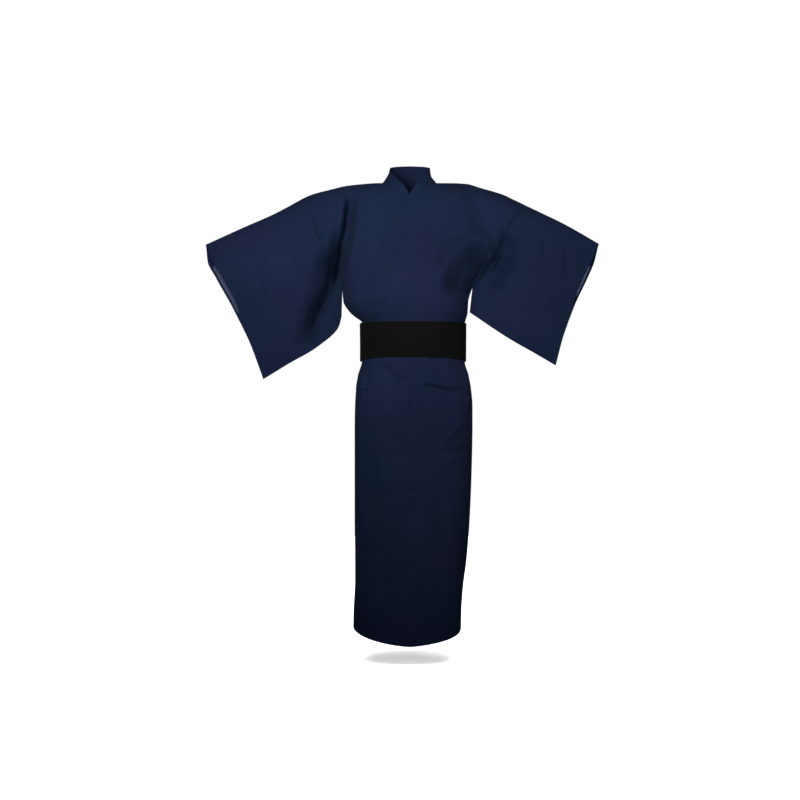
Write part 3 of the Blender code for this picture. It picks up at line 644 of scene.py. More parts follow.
def fold_height(folds, x, z):
    """How far the folds of a table raise or sink the cloth at places (x, z)."""
    total = np.zeros(x.shape)
    for width, depth, sharp, points in folds:
        count = len(points)
        way = np.linspace(0, count - 1, LINE_STEPS * count)
        line = along([(i, *point) for i, point in enumerate(points)], way).T
        on_right, on_left = np.broadcast_to(width, 2)
        reach = 2 * max(on_right, on_left)
        near = (
            (x > line[:, 0].min() - reach)
            & (x < line[:, 0].max() + reach)
            & (z > line[:, 1].min() - reach)
            & (z < line[:, 1].max() + reach)
        )
        if not near.any():
            continue
        px, pz = x[near], z[near]
        lengths = np.linalg.norm(np.diff(line, axis=0), axis=1)
        gone = np.concatenate([[0.0], np.cumsum(lengths)])
        best = np.full(px.shape, np.inf)
        part = np.zeros(px.shape)
        beside = np.zeros(px.shape)
        for i, length in enumerate(lengths):
            (ax, az), (bx, bz) = line[i], line[i + 1]
            t = np.clip(((px - ax) * (bx - ax) + (pz - az) * (bz - az)) / length**2, 0.0, 1.0)
            away = np.hypot(px - mix(ax, bx, t), pz - mix(az, bz, t))
            closer = away < best
            best = np.where(closer, away, best)
            part = np.where(closer, (gone[i] + t * length) / gone[-1], part)
            beside = np.where(closer, (bx - ax) * (pz - az) - (bz - az) * (px - ax), beside)
        fade = ease(0.0, FOLD_ENDS[0], part) * ease(0.0, FOLD_ENDS[1], 1 - part)
        best = best / (2 * np.where(beside < 0, on_right, on_left))
        out = np.clip(1 - best, 0.0, None)
        soft = np.clip(1 - best**2, 0.0, None) ** 2
        total[near] += depth * fade * mix(soft, out**CREASE_POWER, sharp)
    return total


def folds_of(face, tables, x, z):
    """How far the folds of each face's own table raise or sink the cloth."""
    return np.where(face == FRONT, fold_height(tables[FRONT], x, z), fold_height(tables[BACK], x, z))


def outward(points, away):
    """Unit normals of a grid of points, on the side that away points to."""
    normals = np.cross(np.gradient(points, axis=0), np.gradient(points, axis=1))
    normals /= np.maximum(np.linalg.norm(normals, axis=2, keepdims=True), 1e-12)
    return normals * np.sign((normals * away).sum())


def round_normals(points):
    """Unit normals of a grid that goes round the upright axis, outwards."""
    return outward(points, points * (1.0, 1.0, 0.0))


def spaced(points):
    """Distances along each row of a grid of points, from its first column."""
    steps = np.linalg.norm(np.diff(points, axis=1), axis=2)
    return np.concatenate([np.zeros((len(points), 1)), np.cumsum(steps, axis=1)], axis=1)


def evenly(place, start, end, count):
    """Shares between each row's start and end that lie evenly along the cloth."""
    coarse = mix(start[:, None], end[:, None], np.linspace(0.0, 1.0, COARSE_SHARES))
    run = spaced(place(coarse))
    return np.array(
        [np.interp(np.linspace(0.0, row[-1], count), row, shares) for row, shares in zip(run, coarse)]
    )


def sampled(grid, row_at, column_at):
    """A grid's values between its rows and columns, carried straight on past its edges."""
    row = np.clip(np.floor(row_at).astype(int), 0, grid.shape[0] - 2)
    column = np.clip(np.floor(column_at).astype(int), 0, grid.shape[1] - 2)
    down = (row_at - row)[:, None, None]
    over = (column_at - column)[..., None]
    row = row[:, None]
    first = mix(grid[row, column], grid[row, column + 1], over)
    second = mix(grid[row + 1, column], grid[row + 1, column + 1], over)
    return mix(first, second, down)


def worked(points, normals, layer, first, last, low, high):
    """The grid of a sewn sheet: the clean grid with its four edges worked.

    first and last are the edge tables of the first and last column, one for each row of the clean grid. low
    and high are those of the first and last row. Returns the places, how far down and across they lie, and
    how wide the sheet is there.
    """
    rows, columns = points.shape[:2]
    down = np.median(spaced(np.swapaxes(points, 0, 1)), axis=0)
    step_down = down[-1] / (rows - 1)
    ends = [np.array(table) for table in (low, high)]
    inner = np.linspace(EDGE_ZONE / step_down, rows - 1 - EDGE_ZONE / step_down, rows - EDGE_LESS)
    row_at = np.concatenate([ends[0][:, 0] / step_down, inner, rows - 1 - ends[1][::-1, 0] / step_down])
    row_depth = np.concatenate([ends[0][:, 1], np.zeros(len(inner)), ends[1][::-1, 1]])
    nearest = np.clip(np.round(row_at).astype(int), 0, rows - 1)
    width = spaced(points)[:, -1][nearest][:, None]
    starts, stops = np.array(first)[nearest], np.array(last)[nearest]
    even = mix(EDGE_ZONE, width - EDGE_ZONE, np.linspace(0.0, 1.0, columns - EDGE_LESS))
    across = np.concatenate([starts[:, :, 0], even, width - stops[:, ::-1, 0]], axis=1)
    depth = np.concatenate([starts[:, :, 1], np.zeros(even.shape), stops[:, ::-1, 1]], axis=1)
    column_at = across / width * (columns - 1)
    depth = (depth + row_depth[:, None]) * layer
    places = sampled(points, row_at, column_at) - sampled(normals, row_at, column_at) * depth[..., None]
    return places, row_at * step_down, across, width


def added(name, data):
    """A new object in the scene."""
    thing = bpy.data.objects.new(name, data)
    bpy.context.scene.collection.objects.link(thing)
    return thing


def mesh_from(work, name):
    """A mesh from finished work."""
    mesh = bpy.data.meshes.new(name)
    work.to_mesh(mesh)
    work.free()
    return mesh


def cloth(name, places, uv, marks, thickness, away):
    """An object from a grid of places, with the cloth's lengths as its map and its marks as attributes."""
    rows, columns = places.shape[:2]
    work = bmesh.new()
    map_layer = work.loops.layers.uv.new("cloth")
    mark_layers = {mark: work.verts.layers.float.new(mark) for mark in marks}
    bmesh.ops.create_grid(work, x_segments=columns - 1, y_segments=rows - 1, size=0.5)
    at = {}
    for corner in work.verts:
        column = round((corner.co.x + 0.5) * (columns - 1))
        row = round((corner.co.y + 0.5) * (rows - 1))
        at[corner] = (row, column)
        corner.co = places[row, column]
        for mark, layer in mark_layers.items():
            corner[layer] = marks[mark][row, column]
    for patch in work.faces:
        for loop in patch.loops:
            loop[map_layer].uv = uv[at[loop.vert]]
    work.normal_update()
    faced = (patch.normal.dot(away(patch.calc_center_median())) * patch.calc_area() for patch in work.faces)
    if sum(faced) < 0:
        bmesh.ops.reverse_faces(work, faces=work.faces)
    piece = added(name, mesh_from(work, name))
    piece.data.shade_smooth()
    thicken = piece.modifiers.new("Thickness", "SOLIDIFY")
    thicken.thickness = thickness
    thicken.offset = 0.0
    return piece


def from_axis(point):
    """The way out from the upright axis."""
    return Vector((point.x, point.y, 0.0))


def settle(height, share):
    """The share of the folds that a place takes: none on the shoulder or at the side seam."""
    side = ease(SIDE_PLAIN, 1.0, share) * (1 - ease(ARMPIT, ARMPIT + ARMHOLE_MARGIN, height))
    return (1 - ease(FOLD_TOP, SHOULDER, height)) * (1 - side)


def ripple(points, sizes):
    """The small unevenness of cloth that nothing stretches."""
    def rise(place):
        wide = noise.noise(Vector(place * RIPPLE_WIDE))
        fine = noise.noise(Vector(place * RIPPLE_FINE))
        return wide * sizes.ripple + fine * sizes.ripple * RIPPLE_FINE_SHARE

    return np.array([[rise(place) for place in row] for row in points])


def relief(points, face, sizes):
    """All that raises or sinks the cloth off its form, at a grid of places."""
    x, z = points[..., 0], points[..., 2]
    fine = sizes.crease * folds_of(face, CREASES, x, z)
    return folds_of(face, FOLDS, x, z) + fine + ripple(points, sizes)


def draped(points, face, settled):
    """Places moved by the drape round the arms, as far as each takes it."""
    points[..., 1] += face * settled * folds_of(face, DRAPE, points[..., 0], points[..., 2])
    return points


def clothed(points, face, lap, settled, sizes):
    """Points of the form brought out to the middle of their cloth, with its folds and its drape."""
    out = lap + WALL - sizes.sheet / 2 + settled * relief(points, face, sizes)
    return draped(points + round_normals(points) * out[..., None], face, settled)


def by_row(tables, choice):
    """An edge table for each row, where choice mixes the first of two tables into the second."""
    first, second = np.array(tables[0]), np.array(tables[1])
    return mix(first[None], second[None], np.asarray(choice, float)[:, None, None])


def every_row(table, count):
    """The same edge table for each row."""
    return np.broadcast_to(table, (count, *np.shape(table)))


def even_ways(place_at, ways, steps):
    """Places along a way, with a step above the belt, one below it where it creases, and one near the hem."""
    run = spaced(place_at(ways)[None])[0]
    height = -np.abs(ways)
    apart = mix(steps[0], steps[1], ease(BELT_TOP, BELT_BOTTOM, height))
    apart = mix(apart, steps[2], ease(*CREASED_TO, height))
    count = np.concatenate([[0.0], np.cumsum(np.diff(run) * 2 / (apart[1:] + apart[:-1]))])
    return np.interp(np.linspace(0.0, count[-1], max(2, round(count[-1]) + 1)), count, ways)


def own_lengths(places):
    """The cloth's own lengths across and along, for its map."""
    across = spaced(places)
    across -= across[:, across.shape[1] // 2][:, None]
    middle = places[:, places.shape[1] // 2]
    down = spaced(middle[None])[0]
    return np.stack([across, np.broadcast_to(down[:, None], across.shape)], axis=-1)


def sewn_piece(name, points, normals, tables, hemmed, sizes, away, cuff_highlight=None):
    """A sheet with its edges worked, from its clean grid.

    tables and hemmed are for the first and last column and the first and last row: how the edge is worked,
    and whether it is a hem. The last argument says how strong the painted highlight at each row's end is, 0
    where there is none.
    """
    places, down, across, width = worked(points, normals, sizes.layer, *tables)
    length = down.max() + min(0.0, down.min())
    nearest = np.clip(np.round(down / length * (len(points) - 1)).astype(int), 0, len(points) - 1)
    down = np.broadcast_to(down[:, None], across.shape)
    gaps = np.abs([across, width - across, down, length - down])
    hems = [np.broadcast_to(choice, len(points))[nearest][:, None] for choice in hemmed]
    marks = {
        "hem_gap": np.minimum.reduce([np.where(hem, gap, NO_EDGE) for hem, gap in zip(hems, gaps)]),
        "seam_gap": np.minimum.reduce([np.where(hem, NO_EDGE, gap) for hem, gap in zip(hems, gaps)]),
    }
    # The painted highlight inside the cuff: the last two columns of each row take its strength.
    if cuff_highlight is not None:
        marks["cuff_highlight"] = np.zeros(across.shape)
        marks["cuff_highlight"][:, -2:] = cuff_highlight[nearest][:, None]
    return cloth(name, places, own_lengths(places), marks, sizes.sheet, away)


def body_panel(name, side, sizes):
    """One length of cloth from the front hem over the shoulder to the back hem, split for the neck."""
    def at_middle(way):
        return form_point(np.where(way < 0, FRONT, BACK), side, 0.5, -np.abs(way))

    def place(share):
        return signed_point(face[:, None], side, share, height[:, None])

    curl = np.linspace(0.0, 1.0, FORM_WAYS) ** 2
    front_hem = UNDER_HEM if side == RIGHT else HEM
    steps = np.array((sizes.chest_step, sizes.skirt_step, sizes.hem_step))
    before = even_ways(at_middle, front_hem * curl[::-1], steps)
    behind = even_ways(at_middle, -HEM * curl, steps * BACK_COARSER)
    ways = np.concatenate([before, behind[1:]])
    face = np.where(ways <= 0, FRONT, BACK)
    height = -np.abs(ways)
    seam = of_side(side, *along(FRONT_SEAM, height))
    front_start = side * signed_share(side * seam, height)
    start = np.where(face == FRONT, front_start, along(BACK_NECK, height - NECK_TUCK)[0])
    shares = evenly(place, start, np.ones(len(ways)), sizes.columns)
    far = np.abs(shares)
    lap = body_lap(face[:, None], side, far, height[:, None])
    points = clothed(place(shares), face[:, None], lap, settle(height[:, None], far), sizes)
    swung = np.where(face[:, None] == FRONT, ease(*SWAY_FROM[FRONT], far), ease(*SWAY_FROM[BACK], far))
    points[..., 1] -= swung * fold_height(SWAY, points[..., 0], points[..., 2])

    collared = np.where(face == FRONT, height > TIP, height > NAPE)
    first = by_row((TUCKED, SLIPPED), collared)
    first[(face == BACK) & ~collared] = TUCKED if side == RIGHT else TURNED
    last = by_row((TUCKED, TURNED), (face == FRONT) & (height <= ARMPIT))
    tables = (first, last, HEMMED, HEMMED)
    hemmed = (False, False, True, True)
    return sewn_piece(name, points, round_normals(points), tables, hemmed, sizes, from_axis)


def overlap_panel(name, side, sizes):
    """The panel that widens a front, from its seam to the collar and, lower down, to the free edge."""
    def at_middle(height):
        return form_point(FRONT, side, 0.05, height)

    def place(share):
        return signed_point(FRONT, side, share, height[:, None])

    bottom = UNDER_HEM if side == RIGHT else HEM
    steps = (sizes.chest_step, sizes.skirt_step, sizes.hem_step)
    height = even_ways(at_middle, np.linspace(bottom, OVERLAP_TOP, FORM_WAYS), steps)
    inner = of_side(side, *along(FRONT_SEAM, height))
    banded = height >= BAND_END
    outer = np.where(banded, of_side(side, *along(COLLAR_SEAM, height)), along(FREE_EDGE, height)[0])
    start = side * signed_share(side * inner, height)
    end = side * signed_share(side * outer, height)
    shares = evenly(place, start, end, sizes.overlap_columns)
    lap = over_lap(height) if side == LEFT else np.zeros(len(height))
    settled = settle(height[:, None], np.abs(shares))
    points = clothed(place(shares), FRONT, lap[:, None], settled, sizes)
    tables = (every_row(TURNED, len(height)), by_row((HEMMED, SLIPPED), banded), HEMMED, SLIPPED)
    hemmed = (False, ~banded, True, False)
    return sewn_piece(name, points, round_normals(points), tables, hemmed, sizes, from_axis)


def sleeve_edge(table, side, share):
    """Places in the plane of the arms, from a table of a sleeve's outline."""
    right_out, right_z, left_out, left_z = along(table, share)
    out, z = (left_out, left_z) if side == LEFT else (right_out, right_z)
    return np.stack([side * out, np.zeros_like(out), z], axis=-1)


def sleeve_inner(face, side, down):
    """The inner edge of a sleeve: along the armhole, then closed on itself below the armpit."""
    rise = np.clip(1 - down / ARMHOLE_SHARE, 0.0, 1.0)
    height = mix(ARMPIT, SHOULDER, rise)
    point = form_point(face, side, 1.0, height)
    round_way = point - form_point(face, side, 1.0 - NORMAL_STEP, height)
    above = form_point(face, side, 1.0, np.minimum(SHOULDER - 0.0001, height + NORMAL_STEP))
    normal = np.cross(round_way, above - form_point(face, side, 1.0, height - NORMAL_STEP))
    normal /= np.linalg.norm(normal, axis=-1, keepdims=True)
    normal *= np.where(face * side < 0, 1.0, -1.0)[..., None]
    out = body_lap(face, side, 1.0, height)
    out = out + settle(height, 1.0) * folds_of(face, FOLDS, point[..., 0], point[..., 2])
    point = point + normal * out[..., None]
    point[..., 1] = face * np.maximum(face * point[..., 1], CLOSED)
    bottom = sleeve_edge(SLEEVE_BOTTOM, side, np.zeros_like(down))
    bottom[..., 1] = face * CLOSED
    share = np.clip((down - ARMHOLE_SHARE) / (1 - ARMHOLE_SHARE), 0.0, 1.0)[..., None]
    return mix(point, bottom, share)


def sleeve_cuff(face, side, down):
    """The cuff of a sleeve: open above, closed on itself below, its front turned back from the hand."""
    point = sleeve_edge(SLEEVE_CUFF, side, down)
    part = np.minimum(1.0, down / CUFF_OPEN)
    bowed = np.clip(np.sin(pi * part), 0.0, None) ** CUFF_ROUND
    opening = bowed * (1 - part**CUFF_CLOSE)
    point[..., 1] = face * (CLOSED + CUFF_DEPTH * opening) - SLEEVE_FORWARD[side]
    turned = bowed * (1 - part ** CUFF_NARROW[side])
    point[..., 0] -= np.where(face == FRONT, side * CUFF_TURN[side] * turned, 0.0)
    return point


def sleeve_point(face, side, share, down):
    """Points of a sleeve: share runs from armhole to cuff, down from the shoulder fold to the bottom."""
    face, share, down = np.broadcast_arrays(face, np.asarray(share, float), down)
    zero, one = np.zeros(share.shape), np.ones(share.shape)
    across, along_down = share[..., None], down[..., None]
    top_in, top_out = sleeve_inner(face, side, zero), sleeve_cuff(face, side, zero)
    low_in, low_out = sleeve_inner(face, side, one), sleeve_cuff(face, side, one)
    folds = []
    for table, first, last in ((SLEEVE_TOP, top_in, top_out), (SLEEVE_BOTTOM, low_in, low_out)):
        chord = mix(sleeve_edge(table, side, zero), sleeve_edge(table, side, one), across)
        folds.append(mix(first, last, across) + sleeve_edge(table, side, share) - chord)
    inner_bow = sleeve_inner(face, side, down) - mix(top_in, low_in, along_down)
    cuff_bow = sleeve_cuff(face, side, down) - mix(top_out, low_out, along_down)
    point = mix(folds[0], folds[1], along_down) + mix(inner_bow, cuff_bow, across)
    length_curve, height_curve = SLEEVE_FULL_CURVE
    belly = SLEEVE_FULL * np.clip(np.sin(pi * share), 0.0, None) ** length_curve
    belly = belly * np.clip(np.sin(pi * down), 0.0, None) ** height_curve
    point[..., 1] += face * belly
    point[..., 1] -= fold_height(SWAY, point[..., 0], point[..., 2])
    return point


def between(low_margin, high_margin, share):
    """1 from 0 to 1, but for margins at the two ends where it eases to 0."""
    return ease(0.0, low_margin, share) * ease(0.0, high_margin, 1 - share)


def sleeve(name, side, sizes):
    """A tube of cloth folded along the shoulder, closed below, open at the armhole and the upper cuff."""
    def from_middle(point):
        return Vector((0.0, point.y + forward * 0.5, 0.0))

    forward = SLEEVE_FORWARD[side]
    way = np.linspace(-1.0, 1.0, 2 * sizes.sleeve_rows + 1)
    face = np.where(way <= 0, FRONT, BACK)[:, None]
    down = np.abs(way)[:, None]
    share = np.linspace(0.0, 1.0, sizes.sleeve_columns)[None, :]
    points = sleeve_point(face, side, share, down)
    top = len(way) // 2
    behind = sleeve_point(np.full_like(face, BACK), side, share, down)
    points[top] = (points[top] + behind[top]) / 2
    folds_plain, armhole_plain, cuff_plain = FOLD_MARGINS
    inside = between(folds_plain, folds_plain, down) * between(armhole_plain, cuff_plain, share)
    near = between(SLEEVE_PLAIN, CUFF_PLAIN, down) * ease(0.0, CUFF_PLAIN, 1 - share)
    x, z = points[..., 0], points[..., 2]
    fine = near * sizes.crease * folds_of(face, CREASES, x, z)
    points[..., 1] += face * (inside * folds_of(face, FOLDS, x, z) + fine)
    armhole = settle(mix(ARMPIT, SHOULDER, np.clip(1 - down / ARMHOLE_SHARE, 0.0, 1.0)), 1.0)
    free, beyond_armhole, before_cuff = DRAPE_MARGINS
    taken = mix(armhole, between(free, free, down), ease(0.0, beyond_armhole, share))
    points = draped(points, face, taken * ease(0.0, before_cuff, 1 - share))
    centre = points * (0.0, 1.0, 0.0)
    centre[..., 1] += forward * share
    out = WALL - sizes.sheet / 2 + near * ripple(points, sizes)
    points = points + outward(points, centre) * out[..., None]
    tables = (every_row(TURNED, len(way)), every_row(CUFFED, len(way)), TURNED, TURNED)
    # Painted highlight inside the cuff: on the back layer only, over part of the cuff's height, stronger on
    # the cuff in shade.
    shown = ease(*CUFF_HIGHLIGHT_FROM, down[:, 0]) * (1 - ease(*CUFF_HIGHLIGHT_TO[side], down[:, 0]))
    cuff_highlight = (face[:, 0] == BACK) * shown * CUFF_HIGHLIGHT_STRENGTH[side]
    hemmed = (False, True, False, False)
    return sewn_piece(name, points, outward(points, centre), tables, hemmed, sizes, from_middle, cuff_highlight)


def collar_half(side):
    """The collar band's clean grid on one side, from its lower end to the middle of the back."""
    columns = np.linspace(0.0, 1.0, COLLAR_COLUMNS)
    height = np.linspace(BAND_END, TIP, COLLAR_ROWS)[:, None]
    seam = side * signed_share(side * of_side(side, *along(COLLAR_SEAM, height)), height)
    edge = side * signed_share(side * along(COLLAR_EDGE, height)[0], height)
    shares = mix(seam, edge, columns[None, :])
    front = signed_point(FRONT, side, shares, height)
    lap = over_lap(height) if side == LEFT else np.zeros_like(height)
    settled = settle(height, np.abs(shares))
    folds = settled * fold_height(FOLDS[FRONT], front[..., 0], front[..., 2])
    front = draped(front + round_normals(front) * (lap + folds)[..., None], FRONT, settled)

    way = np.linspace(TIP, -NAPE, COLLAR_ROWS // 2)[1:, None]
    face = np.where(way <= 0, FRONT, BACK)
    height = -np.abs(way)
    part = along(NECK_ROWS, way)[0]
    x, y, z = along(NECK_EDGE, part)
    over = np.where(face == FRONT, over_lap(height), 0.0) if side == LEFT else np.zeros_like(height)
    edge = np.stack([side * x + NECK_LEAN * part, y - over, z], axis=-1)
    front_share = share_at(FRONT, side, of_side(side, *along(FRONT_SEAM, height)), height)
    share = np.where(face == FRONT, front_share, along(BACK_NECK, height)[0])
    seam = form_point(face, side, share, height)
    seam[..., 1] -= over
    inward = seam * (-1.0, -1.0, 0.0)
    inward /= np.maximum(np.linalg.norm(inward, axis=-1, keepdims=True), 1e-9)
    seam = seam + inward * (BAND_WALL * ease(0.0, COLLAR_EASED_IN, part))[..., None]
    neck = mix(seam, edge, columns[None, :, None])
    whole = np.concatenate([front, neck])
    start, stop = len(front) - COLLAR_BLENDED[0], len(front) + COLLAR_BLENDED[1]
    for _ in range(COLLAR_SMOOTHINGS):
        middle = (whole[start - 1 : stop - 1] + whole[start + 1 : stop + 1]) / 2
        whole[start:stop] = mix(whole[start:stop], middle, 0.5)
    return whole


def folded_edge(table, deep):
    """Distances in and depths round a folded edge, from the outer layer to the inner one."""
    outer = [(inset, share * deep) for inset, share in table]
    return outer + [(inset, deep - depth) for inset, depth in outer[-2::-1]]


def flat_run(insets, shares, depths):
    """Rows of a path straight across a band, between insets from its two edges."""
    low, high = insets
    depths = np.broadcast_to(depths, np.shape(shares))
    return [(mix(low, -high, share), share, depth) for share, depth in zip(shares, depths)]


def wrapped(points, normals, path, deep, closed):
    """The grid of a band folded round itself, its two ends closed to a share of its depth.

    path has rows of (distance, share of the width, depth). Returns the places and how far across they are.
    """
    distance, share, depth = np.array(path).T
    width = spaced(points)[:, -1][:, None]
    across = distance + share * width
    place = np.arange(len(points), dtype=float)
    opened = ease(0.0, BAND_END_ROWS, np.minimum(place, place[::-1]))[:, None]
    depth = mix(deep / 2, depth, mix(closed, 1.0, opened))
    column_at = across / width * (points.shape[1] - 1)
    places = sampled(points, place, column_at) - sampled(normals, place, column_at) * depth[..., None]
    return places, across, width


def collar_band(name, sizes):
    """One band folded along its free edge, seamed to the over front, the neck and the under front."""
    dense = np.concatenate([collar_half(LEFT), collar_half(RIGHT)[-2::-1]])
    run = spaced(dense[:, COLLAR_COLUMNS // 2][None])[0]
    rows = np.linspace(0.0, run[-1], round(run[-1] / sizes.chest_step) + 1)
    at = np.interp(rows, run, np.arange(len(run)))
    columns = np.broadcast_to(np.arange(float(COLLAR_COLUMNS)), (len(at), COLLAR_COLUMNS))
    points = sampled(dense, at, columns)
    normals = round_normals(points)
    points = points + normals * (BAND_WALL - sizes.sheet / 2)
    deep = BAND_WALL - sizes.sheet
    seam = [(inset, 0.0, share * sizes.layer) for inset, share in COLLAR_SEAMED]
    fold = [(-inset, 1.0, depth) for inset, depth in folded_edge(COLLAR_FOLD, deep)]
    shares = np.linspace(0.0, 1.0, COLLAR_FLAT_STEPS)
    front = flat_run(COLLAR_FLAT, shares, -COLLAR_CROWN * np.sin(pi * shares))
    behind = flat_run(COLLAR_FLAT, shares[::-1], deep)
    path = seam + front + fold + behind + [(inset, 0.0, deep - depth) for inset, _, depth in seam[::-1]]
    places, across, width = wrapped(points, normals, path, deep, COLLAR_CLOSED)
    gap = np.abs(width - across)
    marks = {"hem_gap": np.where(gap < COLLAR_WORN, gap, NO_EDGE), "seam_gap": np.abs(across)}
    return cloth(name, places, own_lengths(places), marks, sizes.sheet, from_axis)


def belt_band(name, sizes):
    """A stiff doubled band once round the waist, its end lapped over its start at the back."""
    def bend(turned, level):
        return noise.noise(Vector((turned * BELT_BEND[0], level * BELT_BEND[1], BELT_BEND[2])))

    turn = BELT_START + np.linspace(0.0, 360.0 + BELT_LAP, sizes.belt_steps)[:, None]
    angle = turn % 360.0
    side = np.where(angle < 180.0, LEFT, RIGHT)
    from_front = np.where(side == LEFT, angle, 360.0 - angle)
    face = np.where(from_front <= 90.0, FRONT, BACK)
    share = np.where(face == FRONT, from_front / 90.0, (180.0 - from_front) / 90.0)
    bottom = BELT_BOTTOM - BELT_SAG * share**2
    height = mix(bottom, BELT_TOP, np.linspace(0.0, 1.0, BELT_COLUMNS)[None, :])
    points = form_point(face, side, np.broadcast_to(share, height.shape), height)
    normals = round_normals(points)
    under = np.where(face == BACK, LAP * ease(0.0, BELT_UNDER_LAP, share), LAP)
    lapped = ease(BELT_START + 360.0 - BELT_RAMP, BELT_START + 360.0, turn)
    out = under + BAND_WALL + BELT_CLEAR + lapped * (BELT_WALL + BELT_CLEAR)
    out = out + BELT_WALL - sizes.belt_sheet / 2
    bends = np.array([[bend(turned, level) for level in row] for turned, row in zip(turn[:, 0], height)])
    points = points + normals * (out + bends * sizes.ripple)[..., None]
    deep = BELT_WALL - sizes.belt_sheet
    edge = folded_edge(BELT_FOLD, deep)
    half = np.linspace(0.5, 0.0, BELT_HALF_STEPS)[:-1]
    path = flat_run(BELT_FLAT, half, deep) + [(inset, 0.0, depth) for inset, depth in edge[::-1]]
    path += flat_run(BELT_FLAT, np.linspace(0.0, 1.0, BELT_FACE_STEPS), 0.0)
    path += [(-inset, 1.0, depth) for inset, depth in edge] + flat_run(BELT_FLAT, 1 - half[::-1], deep)
    places, across, width = wrapped(points, normals, path, deep, BELT_CLOSED)
    gap = np.minimum(np.abs(across), np.abs(width - across))
    marks = {"hem_gap": gap, "seam_gap": np.full_like(gap, NO_EDGE)}
    return cloth(name, places, own_lengths(places), marks, sizes.belt_sheet, from_axis)


class Wiring:
    """The nodes of one material, added and joined by name."""

    def __init__(self, name):
        self.material = bpy.data.materials.new(name)
        self.material.use_nodes = True
        self.tree = self.material.node_tree
        self.tree.nodes.clear()
        out = self.tree.nodes.new("ShaderNodeOutputMaterial")
        self.shader = self.tree.nodes.new("ShaderNodeBsdfPrincipled")
        self.tree.links.new(self.shader.outputs["BSDF"], out.inputs["Surface"])

    def fill(self, node, inputs):
        """Joins a node's inputs to other nodes, or sets them to values."""
        for name, value in inputs.items():
            if isinstance(value, bpy.types.NodeSocket):
                self.tree.links.new(value, node.inputs[name])
            else:
                node.inputs[name].default_value = value

    def add(self, kind, inputs, **settings):
        """The outputs of a new node."""
        node = self.tree.nodes.new("ShaderNode" + kind)
        for name, value in settings.items():
            setattr(node, name, value)
        self.fill(node, inputs)
        return node.outputs

    def lengths(self):
        """The cloth's own lengths across and along, in metres."""
        return self.add("UVMap", {}, uv_map="cloth")["UV"]

    def place(self):
        return self.add("TexCoord", {})["Object"]

    def mark(self, name):
        return self.add("Attribute", {}, attribute_name=name)["Fac"]

    def noise(self, vector, scale=1.0, detail=2.0):
        inputs = {"Vector": vector, "Scale": scale, "Detail": detail, "Roughness": 0.5}
        return self.add("TexNoise", inputs)["Fac"]

    def stretched_noise(self, vector, stretch, detail):
        return self.noise(self.add("Mapping", {"Vector": vector, "Scale": stretch})["Vector"], detail=detail)

    def maths(self, operation, first, second=0.0, third=0.0):
        return self.add("Math", {0: first, 1: second, 2: third}, operation=operation)[0]

    def product(self, first, second):
        return self.maths("MULTIPLY", first, second)

    def range(self, value, span, start, end):
        """A smooth way from start to end, as the value goes over its span."""
        inputs = {"Value": value, "From Min": span[0], "From Max": span[1], "To Min": start, "To Max": end}
        return self.add("MapRange", inputs, interpolation_type="SMOOTHSTEP")["Result"]

    def across_and_along(self, vector):
        outputs = self.add("SeparateXYZ", {"Vector": vector})
        return outputs["X"], outputs["Y"]

    def wave(self, length, pitch):
        """Minus one to one and back, once for each pitch."""
        return self.maths("SINE", self.product(length, 2 * pi / pitch))

    def brighter(self, colour, factor):
        return self.add("VectorMath", {0: colour, "Scale": factor}, operation="SCALE")["Vector"]

    def blend(self, share, first, second):
        return self.add("Mix", {"Factor": share, "A": first, "B": second}, data_type="RGBA")["Result"]

    def bump(self, height, distance, strength, under=None):
        inputs = {"Height": height, "Distance": distance, "Strength": strength}
        if under is not None:
            inputs["Normal"] = under
        return self.add("Bump", inputs)["Normal"]


def tint(colour, dye):
    """A colour's parts, each times the dye's."""
    return (*(part * share for part, share in zip(colour, dye)), 1.0)


